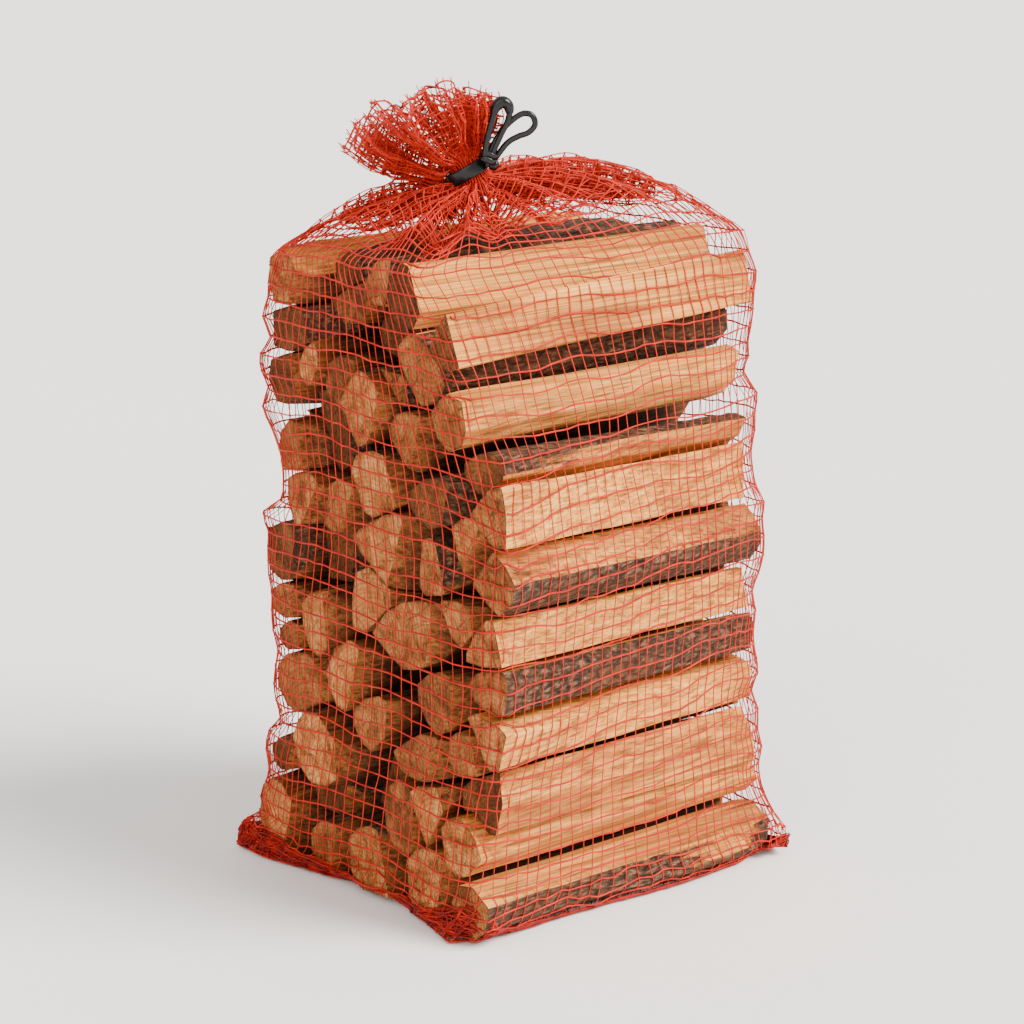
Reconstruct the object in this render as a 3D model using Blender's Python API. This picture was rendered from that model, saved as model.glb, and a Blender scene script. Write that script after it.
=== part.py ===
"""A net of kindling: split sticks laid side by side in a stack, held in a net bag with a tied neck.

Metres, +Z up. The sticks lie along X. The near ends face -X and the front of the stack faces -Y.
The origin is on the floor under the middle of the net. Outlines and heights are in millimetres
where a name or comment says so, and MM turns them into metres.
"""

import math

import bmesh
import bpy
from mathutils import Vector

MM = 0.001

# The stack of sticks.
STACK_TOP = 336.0          # mm, highest corner of the near ends
BACK_FACE = 85.0           # mm, y where the back of the stack stays put
FAR_SAG = 16.0             # mm, how much lower the middle layers lie at their far ends
FAR_SIZE = 0.95            # the sticks narrow a little towards their far ends
SWELL = 0.8                # mm added all round each outline, so that neighbours all but touch
# How far the front of the stack leans at its far ends: height in mm, shift in mm.
FRONT_LEAN = ((0, 4), (60, 8), (105, 28), (235, 32), (265, 12), (295, 0), (345, 0))

# The net bag.
NET_THICKNESS = 1.4        # mm, threads and knots together
NET_CLEARANCE = 4.0        # mm from the sticks to the outside of the net
NET_STRIP = 1.6            # mm, half the width of a strip between two windows
NET_ROWS = 11              # rows of windows up the stack
NET_COLUMNS = 20           # windows round the net
SHOULDER_ROWS = 4
EAR_NEAR_BACK = Vector((-107.0, 106.0, 0.0))    # mm, the two corners of the bottom seam
EAR_FAR_FRONT = Vector((116.0, -99.0, 0.0))

# The neck, its tie and the loose tail above it.
NECK = Vector((-30.0, -5.0, 372.0))     # mm
NECK_LEAN = math.radians(29.0)
TURN = math.radians(48.8)               # the neck leans in an upright plane at this turn from Y
ACROSS = Vector((math.sin(TURN), -math.cos(TURN), 0.0))
DEPTH = Vector((math.cos(TURN), math.sin(TURN), 0.0))
UP = Vector((0.0, 0.0, 1.0))
NECK_AXIS = UP * math.cos(NECK_LEAN) - ACROSS * math.sin(NECK_LEAN)
NECK_SIDE = ACROSS * math.cos(NECK_LEAN) + UP * math.sin(NECK_LEAN)
NECK_RADII = (9.5, 6.5)                 # mm, across and in depth
NECK_HALF = 5.5                         # mm, half the length of the straight neck
TAIL_LENGTHS = (16.0, 32.0, 48.0)       # mm from the neck to each ring of the tail
TAIL_SPREAD_LOW = math.radians(52.0)    # on the side that the neck leans to
TAIL_SPREAD_HIGH = math.radians(36.0)   # on the tie's side
TAIL_SPREAD_DEPTH = math.radians(24.0)
TAIL_LEFT_EXTRA = 0.30                  # the tail is this much longer on its low side
PLEAT = 0.09                            # pleats, as a share of the distance from the neck

TIE_WIDTH = 7.0            # mm
TIE_THICKNESS = 1.8
TIE_GAP = 0.9              # mm between the net's neck and the tie
CORD_RADIUS = 1.55         # mm, the tie's round cord
BULB_RADIUS = 2.7          # mm, the thick end of the short loop
COLLAR_RADIUS = 4.4
COLLAR_HEIGHT = 6.0
COLLAR_PLACE = (10.4, 8.0)  # mm across and up from the middle of the neck
COLLAR_DEPTH = -8.5         # mm, the collar and the loops stand in front of the neck
LOOP_DEPTHS = (-9.6, -7.0)

# Where the round cord of the two loops runs: mm across and up from the middle of the neck.
SHORT_LOOP = ((8.3, 9.0), (9.8, 18.0), (12.2, 27.0), (13.9, 32.6), (17.0, 35.4), (20.3, 33.0),
              (20.2, 27.0), (16.4, 19.0), (12.0, 9.4))
LONG_LOOP = ((9.8, 8.8), (15.9, 19.5), (21.2, 25.5), (27.0, 29.3), (31.8, 28.6), (33.4, 24.0),
             (30.2, 20.0), (25.0, 18.0), (19.5, 14.6), (13.4, 6.8))

SPLIT = "split wood"
BARK = "bark"
COLOURS = {
    SPLIT: (0.62, 0.40, 0.22),
    BARK: (0.14, 0.09, 0.06),
    "net": (0.70, 0.06, 0.03),
    "tie": (0.012, 0.012, 0.014),
}

# Every stick: name, x of its near end, length, finish of its front side, then the corners of
# its near end as (y, z), all in millimetres.
STICKS = (
    ("front_stick_01", -98, 200, SPLIT,
     ((-25, 317), (-28, 330), (-36, 336), (-40, 335), (-48, 314), (-43, 306), (-32, 305))),
    ("front_stick_02", -98, 201, SPLIT,
     ((-61, 307), (-68, 315), (-77, 292), (-71, 290), (-64, 290), (-56, 297))),
    ("front_stick_03", -95, 198, BARK,
     ((-28, 293), (-35, 300), (-42, 302), (-50, 296), (-60, 288), (-63, 280), (-57, 272), (-46, 268),
      (-37, 276), (-32, 284))),
    ("front_stick_04", -98, 196, SPLIT,
     ((-57, 266), (-63, 273), (-69, 277), (-79, 275), (-82, 262), (-79, 254), (-70, 250), (-62, 255))),
    ("front_stick_05", -91, 190, BARK,
     ((-74, 243), (-82, 248), (-90, 251), (-99, 250), (-101, 241), (-97, 238), (-91, 232), (-83, 231),
      (-74, 237))),
    ("front_stick_06", -98, 196, SPLIT,
     ((-99, 235), (-108, 238), (-111, 226), (-111, 210), (-103, 209), (-93, 215), (-87, 222), (-92, 228))),
    ("front_stick_07", -98, 204, BARK,
     ((-102, 205), (-111, 200), (-117, 193), (-116, 185), (-107, 176), (-98, 180), (-88, 187), (-95, 196))),
    ("front_stick_08", -99, 202, SPLIT,
     ((-84, 151), (-92, 165), (-99, 171), (-103, 171), (-109, 151), (-95, 148), (-84, 148))),
    ("front_stick_09", -98, 202, BARK,
     ((-84, 135), (-90, 142), (-109, 147), (-112, 143), (-110, 127), (-99, 125), (-88, 129))),
    ("front_stick_10", -98, 201, SPLIT,
     ((-84, 118), (-89, 121), (-106, 119), (-111, 116), (-106, 98), (-100, 96), (-95, 101), (-91, 109))),
    ("front_stick_11", -90, 192, SPLIT,
     ((-70, 76), (-77, 82), (-97, 91), (-99, 76), (-94, 59), (-89, 59), (-78, 67), (-71, 66))),
    ("front_stick_12", -98, 203, SPLIT,
     ((-63, 55), (-68, 61), (-77, 64), (-88, 56), (-92, 47), (-82, 36), (-73, 33), (-66, 37))),
    ("front_stick_13", -98, 204, SPLIT,
     ((-70, 17), (-76, 28), (-86, 30), (-98, 23), (-95, 10), (-86, 3), (-74, 4))),
    ("second_stick_01", -92, 194, SPLIT,
     ((-18, 252), (-22, 258), (-30, 261), (-46, 260), (-49, 254), (-45, 243), (-35, 232), (-27, 238),
      (-20, 245))),
    ("second_stick_02", -90, 191, BARK,
     ((-9, 279), (-25, 278), (-33, 273), (-33, 265), (-25, 264), (-22, 266))),
    ("second_stick_03", -98, 203, BARK,
     ((-42, 225), (-52, 232), (-63, 234), (-76, 233), (-80, 228), (-77, 220), (-67, 213), (-55, 209),
      (-47, 211), (-40, 217))),
    ("second_stick_04", -96, 197, SPLIT,
     ((-70, 211), (-76, 216), (-86, 219), (-91, 211), (-95, 202), (-85, 190), (-80, 188), (-75, 196))),
    ("second_stick_05", -100, 200, SPLIT,
     ((-53, 202), (-58, 204), (-70, 196), (-76, 185), (-66, 178), (-54, 175), (-50, 178), (-51, 192))),
    ("second_stick_06", -98, 204, SPLIT,
     ((-10, 145), (-20, 157), (-33, 165), (-47, 169), (-61, 170), (-66, 162), (-63, 151), (-55, 140),
      (-43, 134), (-33, 132), (-21, 138))),
    ("second_stick_07", -98, 198, SPLIT,
     ((-64, 173), (-74, 175), (-84, 174), (-92, 171), (-89, 165), (-78, 153), (-72, 157), (-67, 165))),
    ("second_stick_08", -98, 201, SPLIT,
     ((-45, 126), (-54, 133), (-62, 136), (-73, 135), (-81, 131), (-83, 127), (-77, 117), (-68, 108),
      (-59, 104), (-52, 109), (-46, 117))),
    ("second_stick_09", -98, 203, SPLIT,
     ((-70, 92), (-70, 104), (-75, 108), (-83, 109), (-89, 106), (-92, 98), (-91, 91), (-80, 87),
      (-74, 87))),
    ("second_stick_10", -98, 199, SPLIT,
     ((-26, 86), (-37, 94), (-47, 100), (-58, 101), (-67, 98), (-67, 88), (-60, 79), (-44, 76), (-31, 78))),
    ("second_stick_11", -98, 200, SPLIT,
     ((-38, 67), (-45, 72), (-60, 75), (-68, 74), (-60, 59), (-51, 43), (-44, 55))),
    ("second_stick_12", -94, 198, SPLIT,
     ((-15, 62), (-24, 69), (-31, 68), (-36, 60), (-41, 47), (-38, 38), (-29, 30), (-20, 32), (-14, 41),
      (-13, 52))),
    ("second_stick_13", -98, 201, SPLIT,
     ((-36, 30), (-42, 37), (-52, 41), (-60, 40), (-66, 30), (-66, 16), (-58, 4), (-44, 3), (-37, 12))),
    ("middle_stick_01", -84, 188, SPLIT,
     ((38, 306), (26, 313), (8, 320), (3, 310), (13, 299), (28, 297))),
    ("middle_stick_02", -98, 202, SPLIT,
     ((14, 260), (6, 272), (0, 278), (-7, 277), (-13, 272), (-20, 264), (-16, 254), (-5, 243), (1, 240),
      (8, 250))),
    ("middle_stick_03", -92, 193, SPLIT,
     ((31, 276), (22, 281), (9, 280), (12, 273), (17, 262), (25, 257), (33, 262), (33, 268))),
    ("middle_stick_04", -96, 198, SPLIT,
     ((8, 226), (4, 234), (-8, 238), (-18, 237), (-27, 230), (-31, 217), (-24, 212), (-8, 205), (-1, 207),
      (3, 214))),
    ("middle_stick_05", -100, 204, SPLIT,
     ((3, 193), (-8, 201), (-24, 209), (-36, 211), (-46, 206), (-49, 199), (-46, 186), (-40, 173),
      (-31, 170), (-17, 178), (-4, 186))),
    ("middle_stick_06", -96, 195, SPLIT,
     ((6, 172), (-4, 177), (-12, 174), (-22, 168), (-28, 166), (-17, 158), (-7, 149), (1, 143), (9, 143),
      (9, 158))),
    ("middle_stick_07", -98, 202, SPLIT,
     ((29, 114), (22, 129), (10, 136), (0, 134), (-3, 125), (0, 112), (8, 103), (14, 98), (21, 99),
      (26, 107))),
    ("middle_stick_08", -97, 197, SPLIT,
     ((7, 100), (-1, 107), (-12, 111), (-24, 109), (-26, 103), (-17, 92), (-6, 81), (2, 84), (8, 92))),
    ("middle_stick_09", -96, 200, SPLIT,
     ((15, 26), (8, 34), (-2, 38), (-12, 37), (-21, 25), (-23, 10), (-17, 4), (6, 3), (15, 12))),
    ("middle_stick_10", -90, 196, BARK,
     ((4, 320), (-4, 331), (-14, 335), (-22, 331), (-21, 318), (-14, 312), (-3, 312))),
    ("back_stick_01", -102, 203, SPLIT,
     ((65, 327), (55, 332), (48, 328), (43, 319), (44, 310), (50, 306), (62, 305), (66, 315))),
    ("back_stick_02", -80, 184, BARK,
     ((39, 325), (31, 331), (19, 330), (12, 324), (17, 321), (28, 316), (38, 311))),
    ("back_stick_03", -94, 197, BARK,
     ((74, 297), (60, 301), (44, 302), (35, 300), (31, 293), (37, 290), (50, 284), (63, 279), (74, 280))),
    ("back_stick_04", -96, 196, SPLIT,
     ((50, 274), (46, 281), (39, 286), (36, 281), (36, 268), (44, 264), (49, 268))),
    ("back_stick_05", -94, 195, BARK,
     ((77, 271), (67, 275), (56, 276), (53, 268), (56, 256), (64, 251), (73, 251), (79, 261))),
    ("back_stick_06", -84, 190, BARK,
     ((60, 247), (50, 258), (38, 259), (27, 252), (19, 238), (20, 227), (33, 220), (37, 224), (40, 236),
      (47, 244))),
    ("back_stick_07", -98, 200, SPLIT,
     ((64, 236), (57, 243), (48, 241), (42, 234), (40, 225), (43, 221), (53, 219), (63, 217), (66, 228))),
    ("back_stick_08", -98, 202, SPLIT,
     ((59, 212), (52, 216), (40, 218), (34, 213), (32, 206), (34, 197), (41, 192), (54, 190), (59, 200))),
    ("back_stick_09", -96, 196, SPLIT,
     ((27, 214), (18, 219), (10, 217), (4, 211), (4, 202), (12, 195), (23, 191), (31, 193), (29, 204))),
    ("back_stick_10", -96, 199, BARK,
     ((79, 181), (67, 187), (56, 185), (53, 172), (58, 160), (70, 156), (79, 160))),
    ("back_stick_11", -80, 184, BARK,
     ((52, 183), (46, 187), (24, 187), (17, 181), (20, 170), (33, 160), (48, 159), (49, 170))),
    ("back_stick_12", -98, 201, SPLIT,
     ((49, 147), (42, 154), (32, 157), (26, 151), (24, 141), (26, 131), (36, 122), (43, 125), (48, 136))),
    ("back_stick_13", -96, 194, SPLIT,
     ((79, 147), (70, 153), (57, 154), (53, 147), (58, 139), (67, 136), (76, 138))),
    ("back_stick_14", -94, 193, BARK,
     ((74, 127), (66, 133), (57, 132), (54, 126), (57, 121), (68, 118), (74, 121))),
    ("back_stick_15", -96, 198, SPLIT,
     ((73, 108), (66, 115), (50, 119), (38, 117), (32, 108), (35, 98), (46, 92), (58, 86), (67, 88),
      (73, 96))),
    ("back_stick_16", -101, 204, SPLIT,
     ((55, 74), (50, 84), (44, 90), (35, 91), (20, 80), (10, 71), (13, 65), (28, 54), (41, 53), (50, 60))),
    ("back_stick_17", -94, 194, BARK,
     ((83, 60), (74, 67), (66, 66), (60, 59), (62, 56), (68, 51), (76, 49), (82, 52))),
    ("back_stick_18", -86, 190, BARK,
     ((64, 49), (51, 51), (29, 50), (22, 43), (25, 34), (40, 33), (51, 33))),
    ("back_stick_19", -101, 202, SPLIT,
     ((86, 24), (82, 39), (75, 45), (67, 44), (54, 31), (50, 25), (52, 14), (62, 4), (78, 4), (85, 12))),
    ("back_stick_20", -96, 198, SPLIT,
     ((47, 22), (38, 30), (27, 31), (20, 27), (18, 12), (25, 4), (40, 3), (47, 12))),
    ("inner_stick_01", -72, 178, SPLIT,
     ((11, 57), (6, 70), (-5, 76), (-11, 69), (-10, 44), (-2, 42), (9, 39), (18, 41))),
    ("inner_stick_02", -76, 180, BARK,
     ((6, 286), (8, 296), (2, 306), (-10, 309), (-22, 308), (-25, 300), (-24, 292), (-20, 285),
      (-8, 283))),
)


def clear_scene():
    for old in list(bpy.data.objects):
        bpy.data.objects.remove(old, do_unlink=True)


def material(name, colour, roughness):
    finish = bpy.data.materials.new(name)
    finish.use_nodes = True
    shader = finish.node_tree.nodes["Principled BSDF"]
    shader.inputs["Base Color"].default_value = (*colour, 1.0)
    shader.inputs["Roughness"].default_value = roughness
    shader.inputs["Metallic"].default_value = 0.0
    return finish


def add_object(name, mesh, finish):
    thing = bpy.data.objects.new(name, mesh)
    bpy.context.scene.collection.objects.link(thing)
    thing.data.materials.append(finish)
    return thing


def between(stops, height):
    """Read a value off (height, value) stops joined by straight lines."""
    if height <= stops[0][0]:
        return stops[0][1]
    for (low, start), (high, end) in zip(stops, stops[1:]):
        if height <= high:
            return start + (end - start) * (height - low) / (high - low)
    return stops[-1][1]


def far_corner(y, z):
    """Where the corner (y, z) of a near end comes to at the far end of the stack."""
    front = -48.0 if z > 310 else -95.0
    share = max(0.0, min(1.2, (BACK_FACE - y) / (BACK_FACE - front)))
    sag = FAR_SAG * math.sin(math.pi * min(z, STACK_TOP) / STACK_TOP)
    return y + between(FRONT_LEAN, z) * share, z - sag


def swollen(corners):
    """The outline moved outwards by SWELL, corner by corner."""
    points = [Vector(corner) for corner in corners]
    turn = sum(a.x * b.y - a.y * b.x for a, b in zip(points, points[1:] + points[:1]))
    side = math.copysign(1.0, turn)
    grown = []
    for before, point, after in zip(points[-1:] + points[:-1], points, points[1:] + points[:1]):
        into = (point - before).normalized()
        out_of = (after - point).normalized()
        normal = Vector((into.y + out_of.y, -into.x - out_of.x)) * side
        reach = SWELL / max(0.5, normal.length / 2)
        grown.append(point + normal.normalized() * reach)
    return grown


def stick_ends(near_x, length, corners):
    """The near and far outlines of a stick as lists of points in millimetres."""
    outline = swollen(corners)
    near = [Vector((near_x, y, z)) for y, z in outline]
    far = [Vector((near_x + length, *far_corner(y, z))) for y, z in outline]
    middle = sum(far, Vector()) / len(far)
    far = [middle + (point - middle) * FAR_SIZE for point in far]
    return near, far


def stick(name, near_x, length, finish, corners):
    """A split stick: its near outline drawn out to its far outline."""
    near, far = stick_ends(near_x, length, corners)
    bm = bmesh.new()
    near_ring = [bm.verts.new(point * MM) for point in near]
    far_ring = [bm.verts.new(point * MM) for point in far]
    bm.faces.new(near_ring)
    bm.faces.new(list(reversed(far_ring)))
    count = len(corners)
    for i in range(count):
        j = (i + 1) % count
        bm.faces.new((near_ring[j], near_ring[i], far_ring[i], far_ring[j]))
    bmesh.ops.recalc_face_normals(bm, faces=bm.faces)
    mesh = bpy.data.meshes.new(name)
    bm.to_mesh(mesh)
    bm.free()
    return add_object(name, mesh, material(name, COLOURS[finish], 0.8))


def stack_points():
    """Points along the outlines of all the stick ends, near and far apart."""
    near_points = []
    far_points = []
    for name, near_x, length, finish, corners in STICKS:
        near, far = stick_ends(near_x, length, corners)
        for ring, points in ((near, near_points), (far, far_points)):
            for start, end in zip(ring, ring[1:] + ring[:1]):
                points.extend(start.lerp(end, step / 4) for step in range(4))
    return near_points, far_points


def side_lengths():
    """Windows along the near, front, far and back sides of the net."""
    quarter = NET_COLUMNS // 4
    return (quarter, quarter, quarter, quarter)


def box_ring(height, reach, near_points, far_points):
    """The four corners of the net round all the sticks within reach of a height."""
    near = [p for p in near_points if abs(p.z - height) <= reach]
    far = [p for p in far_points if abs(p.z - height) <= reach]
    low_x = min(p.x for p in near) - NET_CLEARANCE
    high_x = max(p.x for p in far) + NET_CLEARANCE
    return (
        Vector((low_x, max(p.y for p in near) + NET_CLEARANCE, height)),
        Vector((low_x, min(p.y for p in near) - NET_CLEARANCE, height)),
        Vector((high_x, min(p.y for p in far) - NET_CLEARANCE, height)),
        Vector((high_x, max(p.y for p in far) + NET_CLEARANCE, height)),
    )


def ring_points(corners):
    """Even points along the four sides, starting at the near back corner."""
    points = []
    for side, count in enumerate(side_lengths()):
        start = corners[side]
        end = corners[(side + 1) % 4]
        points.extend(start.lerp(end, step / count) for step in range(count))
    return points


def body_rings():
    """The rings of the net from the floor to the top of the stack."""
    near_points, far_points = stack_points()
    top = max(p.z for p in near_points + far_points) + NET_CLEARANCE
    pitch = top / NET_ROWS
    rings = []
    for row in range(NET_ROWS + 1):
        height = pitch * row
        corners = list(box_ring(height, pitch + 2.0, near_points, far_points))
        if row == 0:
            corners[0] = EAR_NEAR_BACK
            corners[2] = EAR_FAR_FRONT
        rings.append(ring_points(corners))
    return rings


def neck_point(turn, along, grow=1.0):
    """A point on the oval neck, turned round it from the near back corner."""
    side = NECK_SIDE * (NECK_RADII[0] * grow * math.cos(turn))
    depth = DEPTH * (NECK_RADII[1] * grow * math.sin(turn))
    return NECK + NECK_AXIS * along + side + depth


def column_turn(column):
    """The near back corner lies on the low side of the neck, and the columns run round it."""
    return math.pi + 2.0 * math.pi * column / NET_COLUMNS


def shoulder_rings(top_ring):
    """Rings that close in from the top of the stack to the neck, like a tent."""
    rings = []
    for row in range(1, SHOULDER_ROWS):
        share = row / SHOULDER_ROWS
        rise = share ** 0.75
        ring = []
        for column, start in enumerate(top_ring):
            end = neck_point(column_turn(column), -NECK_HALF)
            point = start.lerp(end, share)
            point.z = start.z + (end.z - start.z) * rise
            ring.append(point)
        rings.append(ring)
    return rings


def tail_rings():
    """The straight neck, then the loose tail that flares from it in pleats."""
    columns = range(NET_COLUMNS)
    rings = [[neck_point(column_turn(c), along) for c in columns] for along in (-NECK_HALF, NECK_HALF)]
    start = NECK + NECK_AXIS * (NECK_HALF - 8.0)
    for length in TAIL_LENGTHS:
        ring = []
        for column in columns:
            turn = column_turn(column)
            across = math.cos(turn)
            depth = math.sin(turn)
            pleat = 1.0 + (PLEAT if column % 2 else -PLEAT)
            spread = TAIL_SPREAD_HIGH if across > 0.0 else TAIL_SPREAD_LOW
            wide = math.sin(spread) * across * pleat
            deep = math.sin(TAIL_SPREAD_DEPTH) * depth * pleat
            ahead = math.sqrt(max(0.05, 1.0 - wide * wide - deep * deep))
            reach = (length + 8.0) * (1.0 - TAIL_LEFT_EXTRA * across * 0.5)
            way = NECK_SIDE * wide + DEPTH * deep + NECK_AXIS * ahead
            ring.append(start + way * reach)
        rings.append(ring)
    return rings


def net_bag():
    """A coarse net: rings of windows up the stack, a solid underside, a gathered neck and a tail."""
    body = body_rings()
    shoulder = shoulder_rings(body[-1])
    tail = tail_rings()
    rings = body + shoulder + tail
    bm = bmesh.new()
    rows = [[bm.verts.new(point * MM) for point in ring] for ring in rings]
    windows = []
    open_rows = NET_ROWS + SHOULDER_ROWS - 1
    for row, (low, high) in enumerate(zip(rows, rows[1:])):
        for column in range(NET_COLUMNS):
            after = (column + 1) % NET_COLUMNS
            face = bm.faces.new((low[column], low[after], high[after], high[column]))
            if row < open_rows:
                windows.append(face)
    bm.faces.new(list(reversed(rows[0])))
    bm.normal_update()
    bmesh.ops.inset_individual(bm, faces=windows, thickness=NET_STRIP * MM, use_even_offset=True)
    bmesh.ops.delete(bm, geom=windows, context="FACES")
    mesh = bpy.data.meshes.new("net_bag")
    bm.to_mesh(mesh)
    bm.free()
    bag = add_object("net_bag", mesh, material("net_bag", COLOURS["net"], 0.5))
    skin = bag.modifiers.new("Threads", "SOLIDIFY")
    skin.thickness = NET_THICKNESS * MM
    skin.offset = -1.0
    skin.use_even_offset = False
    return bag


def plane_point(across, up):
    """A point in the upright plane of the neck, in millimetres from its middle."""
    return NECK + ACROSS * across + UP * up


def rounded(points, steps):
    """A smooth line through the points, by Catmull-Rom."""
    ends = [points[0] * 2 - points[1]] + points + [points[-1] * 2 - points[-2]]
    line = []
    for a, b, c, d in zip(ends, ends[1:], ends[2:], ends[3:]):
        for step in range(steps):
            t = step / steps
            line.append(
                0.5 * (2 * b + (c - a) * t + (2 * a - 5 * b + 4 * c - d) * t ** 2
                       + (3 * b - a - 3 * c + d) * t ** 3)
            )
    return line + [points[-1]]


def cord_loop(name, route, depth_shift, bulb_at):
    """A loop of the tie's round cord, thicker round the point bulb_at where one is given."""
    points = [plane_point(across, up) + DEPTH * depth_shift for across, up in route]
    line = rounded(points, 3)
    curve = bpy.data.curves.new(name, "CURVE")
    curve.dimensions = "3D"
    curve.bevel_depth = CORD_RADIUS * MM
    curve.bevel_resolution = 2
    curve.use_fill_caps = True
    spline = curve.splines.new("POLY")
    spline.points.add(len(line) - 1)
    for place, point in zip(spline.points, line):
        place.co = (*(point * MM), 1.0)
        if bulb_at is not None:
            near = max(0.0, 1.0 - (point - bulb_at).length / 7.0)
            place.radius = 1.0 + (BULB_RADIUS / CORD_RADIUS - 1.0) * math.sqrt(near)
    drawn = bpy.data.objects.new(name + "_line", curve)
    mesh = bpy.data.meshes.new_from_object(drawn)
    bpy.data.objects.remove(drawn)
    bm = bmesh.new()
    bm.from_mesh(mesh)
    bmesh.ops.remove_doubles(bm, verts=bm.verts, dist=0.001 * MM)
    bm.to_mesh(mesh)
    bm.free()
    shape = bpy.data.objects.new(name, mesh)
    bpy.context.scene.collection.objects.link(shape)
    return shape


def oval_band(name, centre, side, depth, axis, radii, thickness, width, count):
    """A flat band bent round an oval."""
    bm = bmesh.new()
    rings = []
    for grow, along in ((0.0, -0.5), (thickness, -0.5), (thickness, 0.5), (0.0, 0.5)):
        ring = []
        for step in range(count):
            turn = 2.0 * math.pi * step / count
            out = side * ((radii[0] + grow) * math.cos(turn)) + depth * ((radii[1] + grow) * math.sin(turn))
            ring.append(bm.verts.new((centre + out + axis * (along * width)) * MM))
        rings.append(ring)
    for first, second in zip(rings, rings[1:] + rings[:1]):
        for step in range(count):
            after = (step + 1) % count
            bm.faces.new((first[step], first[after], second[after], second[step]))
    bmesh.ops.recalc_face_normals(bm, faces=bm.faces)
    mesh = bpy.data.meshes.new(name)
    bm.to_mesh(mesh)
    bm.free()
    return mesh


def join_to(base, other):
    """Fuse another closed shape with the base by a union, and hide the shape it came from."""
    other.hide_render = True
    other.display_type = "WIRE"
    union = base.modifiers.new("Fuse", "BOOLEAN")
    union.operation = "UNION"
    union.solver = "EXACT"
    union.object = other


def tie_collar(finish):
    """The short thick collar at the end of the band, where the loops come out."""
    lean = (UP * 0.9 + ACROSS * 0.44).normalized()
    bm = bmesh.new()
    bmesh.ops.create_cone(
        bm, cap_ends=True, segments=14, radius1=COLLAR_RADIUS * MM, radius2=COLLAR_RADIUS * 0.85 * MM,
        depth=COLLAR_HEIGHT * MM)
    turn = UP.rotation_difference(lean).to_matrix()
    bmesh.ops.rotate(bm, verts=bm.verts, cent=Vector(), matrix=turn)
    bmesh.ops.translate(bm, verts=bm.verts, vec=(plane_point(*COLLAR_PLACE) + DEPTH * COLLAR_DEPTH) * MM)
    mesh = bpy.data.meshes.new("tie_collar")
    bm.to_mesh(mesh)
    bm.free()
    return add_object("tie_collar", mesh, finish)


def tie():
    """The black tie: a band round the neck, a collar at its end and two loops of round cord."""
    radii = (NECK_RADII[0] + TIE_GAP, NECK_RADII[1] + TIE_GAP)
    band = oval_band("tie", NECK, NECK_SIDE, DEPTH, NECK_AXIS, radii, TIE_THICKNESS, TIE_WIDTH, 28)
    strap = add_object("tie", band, material("tie", COLOURS["tie"], 0.3))
    collar = tie_collar(strap.data.materials[0])
    bulb = plane_point(*SHORT_LOOP[4]) + DEPTH * LOOP_DEPTHS[0]
    short = cord_loop("tie_short_loop", SHORT_LOOP, LOOP_DEPTHS[0], bulb)
    long = cord_loop("tie_long_loop", LONG_LOOP, LOOP_DEPTHS[1], None)
    for shape in (collar, short, long):
        join_to(strap, shape)
    return strap


def centre_on(bag):
    """Move everything so that the origin is on the floor under the middle of the net."""
    xs = [vertex.co.x for vertex in bag.data.vertices]
    ys = [vertex.co.y for vertex in bag.data.vertices]
    middle = Vector(((min(xs) + max(xs)) / 2, (min(ys) + max(ys)) / 2, 0.0))
    for thing in bpy.context.scene.objects:
        thing.location = -middle
    print("middle of the net before centring:", middle)


def main():
    clear_scene()
    for row in STICKS:
        stick(*row)
    bag = net_bag()
    tie()
    centre_on(bag)


main()
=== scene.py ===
"""A net of kindling: split sticks stacked in a red mesh bag that is gathered and tied at the top.

Metres, +Z up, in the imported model's own frame. The sticks run along X, their near ends face -X
and the front of the stack faces -Y. Lengths in the tables are in millimetres where they say so.
"""

import math
import random

import bmesh
import bpy
import numpy as np
from mathutils import Matrix, Vector, noise
from mathutils.bvhtree import BVHTree


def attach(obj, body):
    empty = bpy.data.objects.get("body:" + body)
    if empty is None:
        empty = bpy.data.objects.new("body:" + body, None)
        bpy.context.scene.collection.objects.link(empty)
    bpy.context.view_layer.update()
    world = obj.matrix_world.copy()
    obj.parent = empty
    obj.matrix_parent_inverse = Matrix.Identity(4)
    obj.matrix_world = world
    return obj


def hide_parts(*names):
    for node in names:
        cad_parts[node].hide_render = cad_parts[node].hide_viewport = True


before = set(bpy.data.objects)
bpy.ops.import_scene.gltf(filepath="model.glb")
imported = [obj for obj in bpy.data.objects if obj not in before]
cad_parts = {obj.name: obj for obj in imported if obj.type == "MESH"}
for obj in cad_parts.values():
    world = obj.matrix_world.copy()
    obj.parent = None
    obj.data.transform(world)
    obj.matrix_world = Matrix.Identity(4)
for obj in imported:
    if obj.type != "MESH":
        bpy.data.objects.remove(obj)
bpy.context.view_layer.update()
bpy.ops.object.select_all(action="DESELECT")

MM = 0.001
UP = Vector((0.0, 0.0, 1.0))

# The viewing angle of the picture.
CAMERA_PLACE = Vector((-0.9724, -1.1018, 0.5702))
CAMERA_HEADING = math.radians(48.8)
CAMERA_PITCH = math.radians(14.5)
CAMERA_LENS = 101.95

# The gathered neck. It leans in the upright plane that the camera sees squarely.
NECK = Vector((-34.5, 2.9, 372.0)) * MM
NECK_LEAN = math.radians(29.0)
ACROSS = Vector((math.sin(CAMERA_HEADING), -math.cos(CAMERA_HEADING), 0.0))
DEPTH = Vector((math.cos(CAMERA_HEADING), math.sin(CAMERA_HEADING), 0.0))
NECK_AXIS = UP * math.cos(NECK_LEAN) - ACROSS * math.sin(NECK_LEAN)
NECK_SIDE = ACROSS * math.cos(NECK_LEAN) + UP * math.sin(NECK_LEAN)

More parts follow.
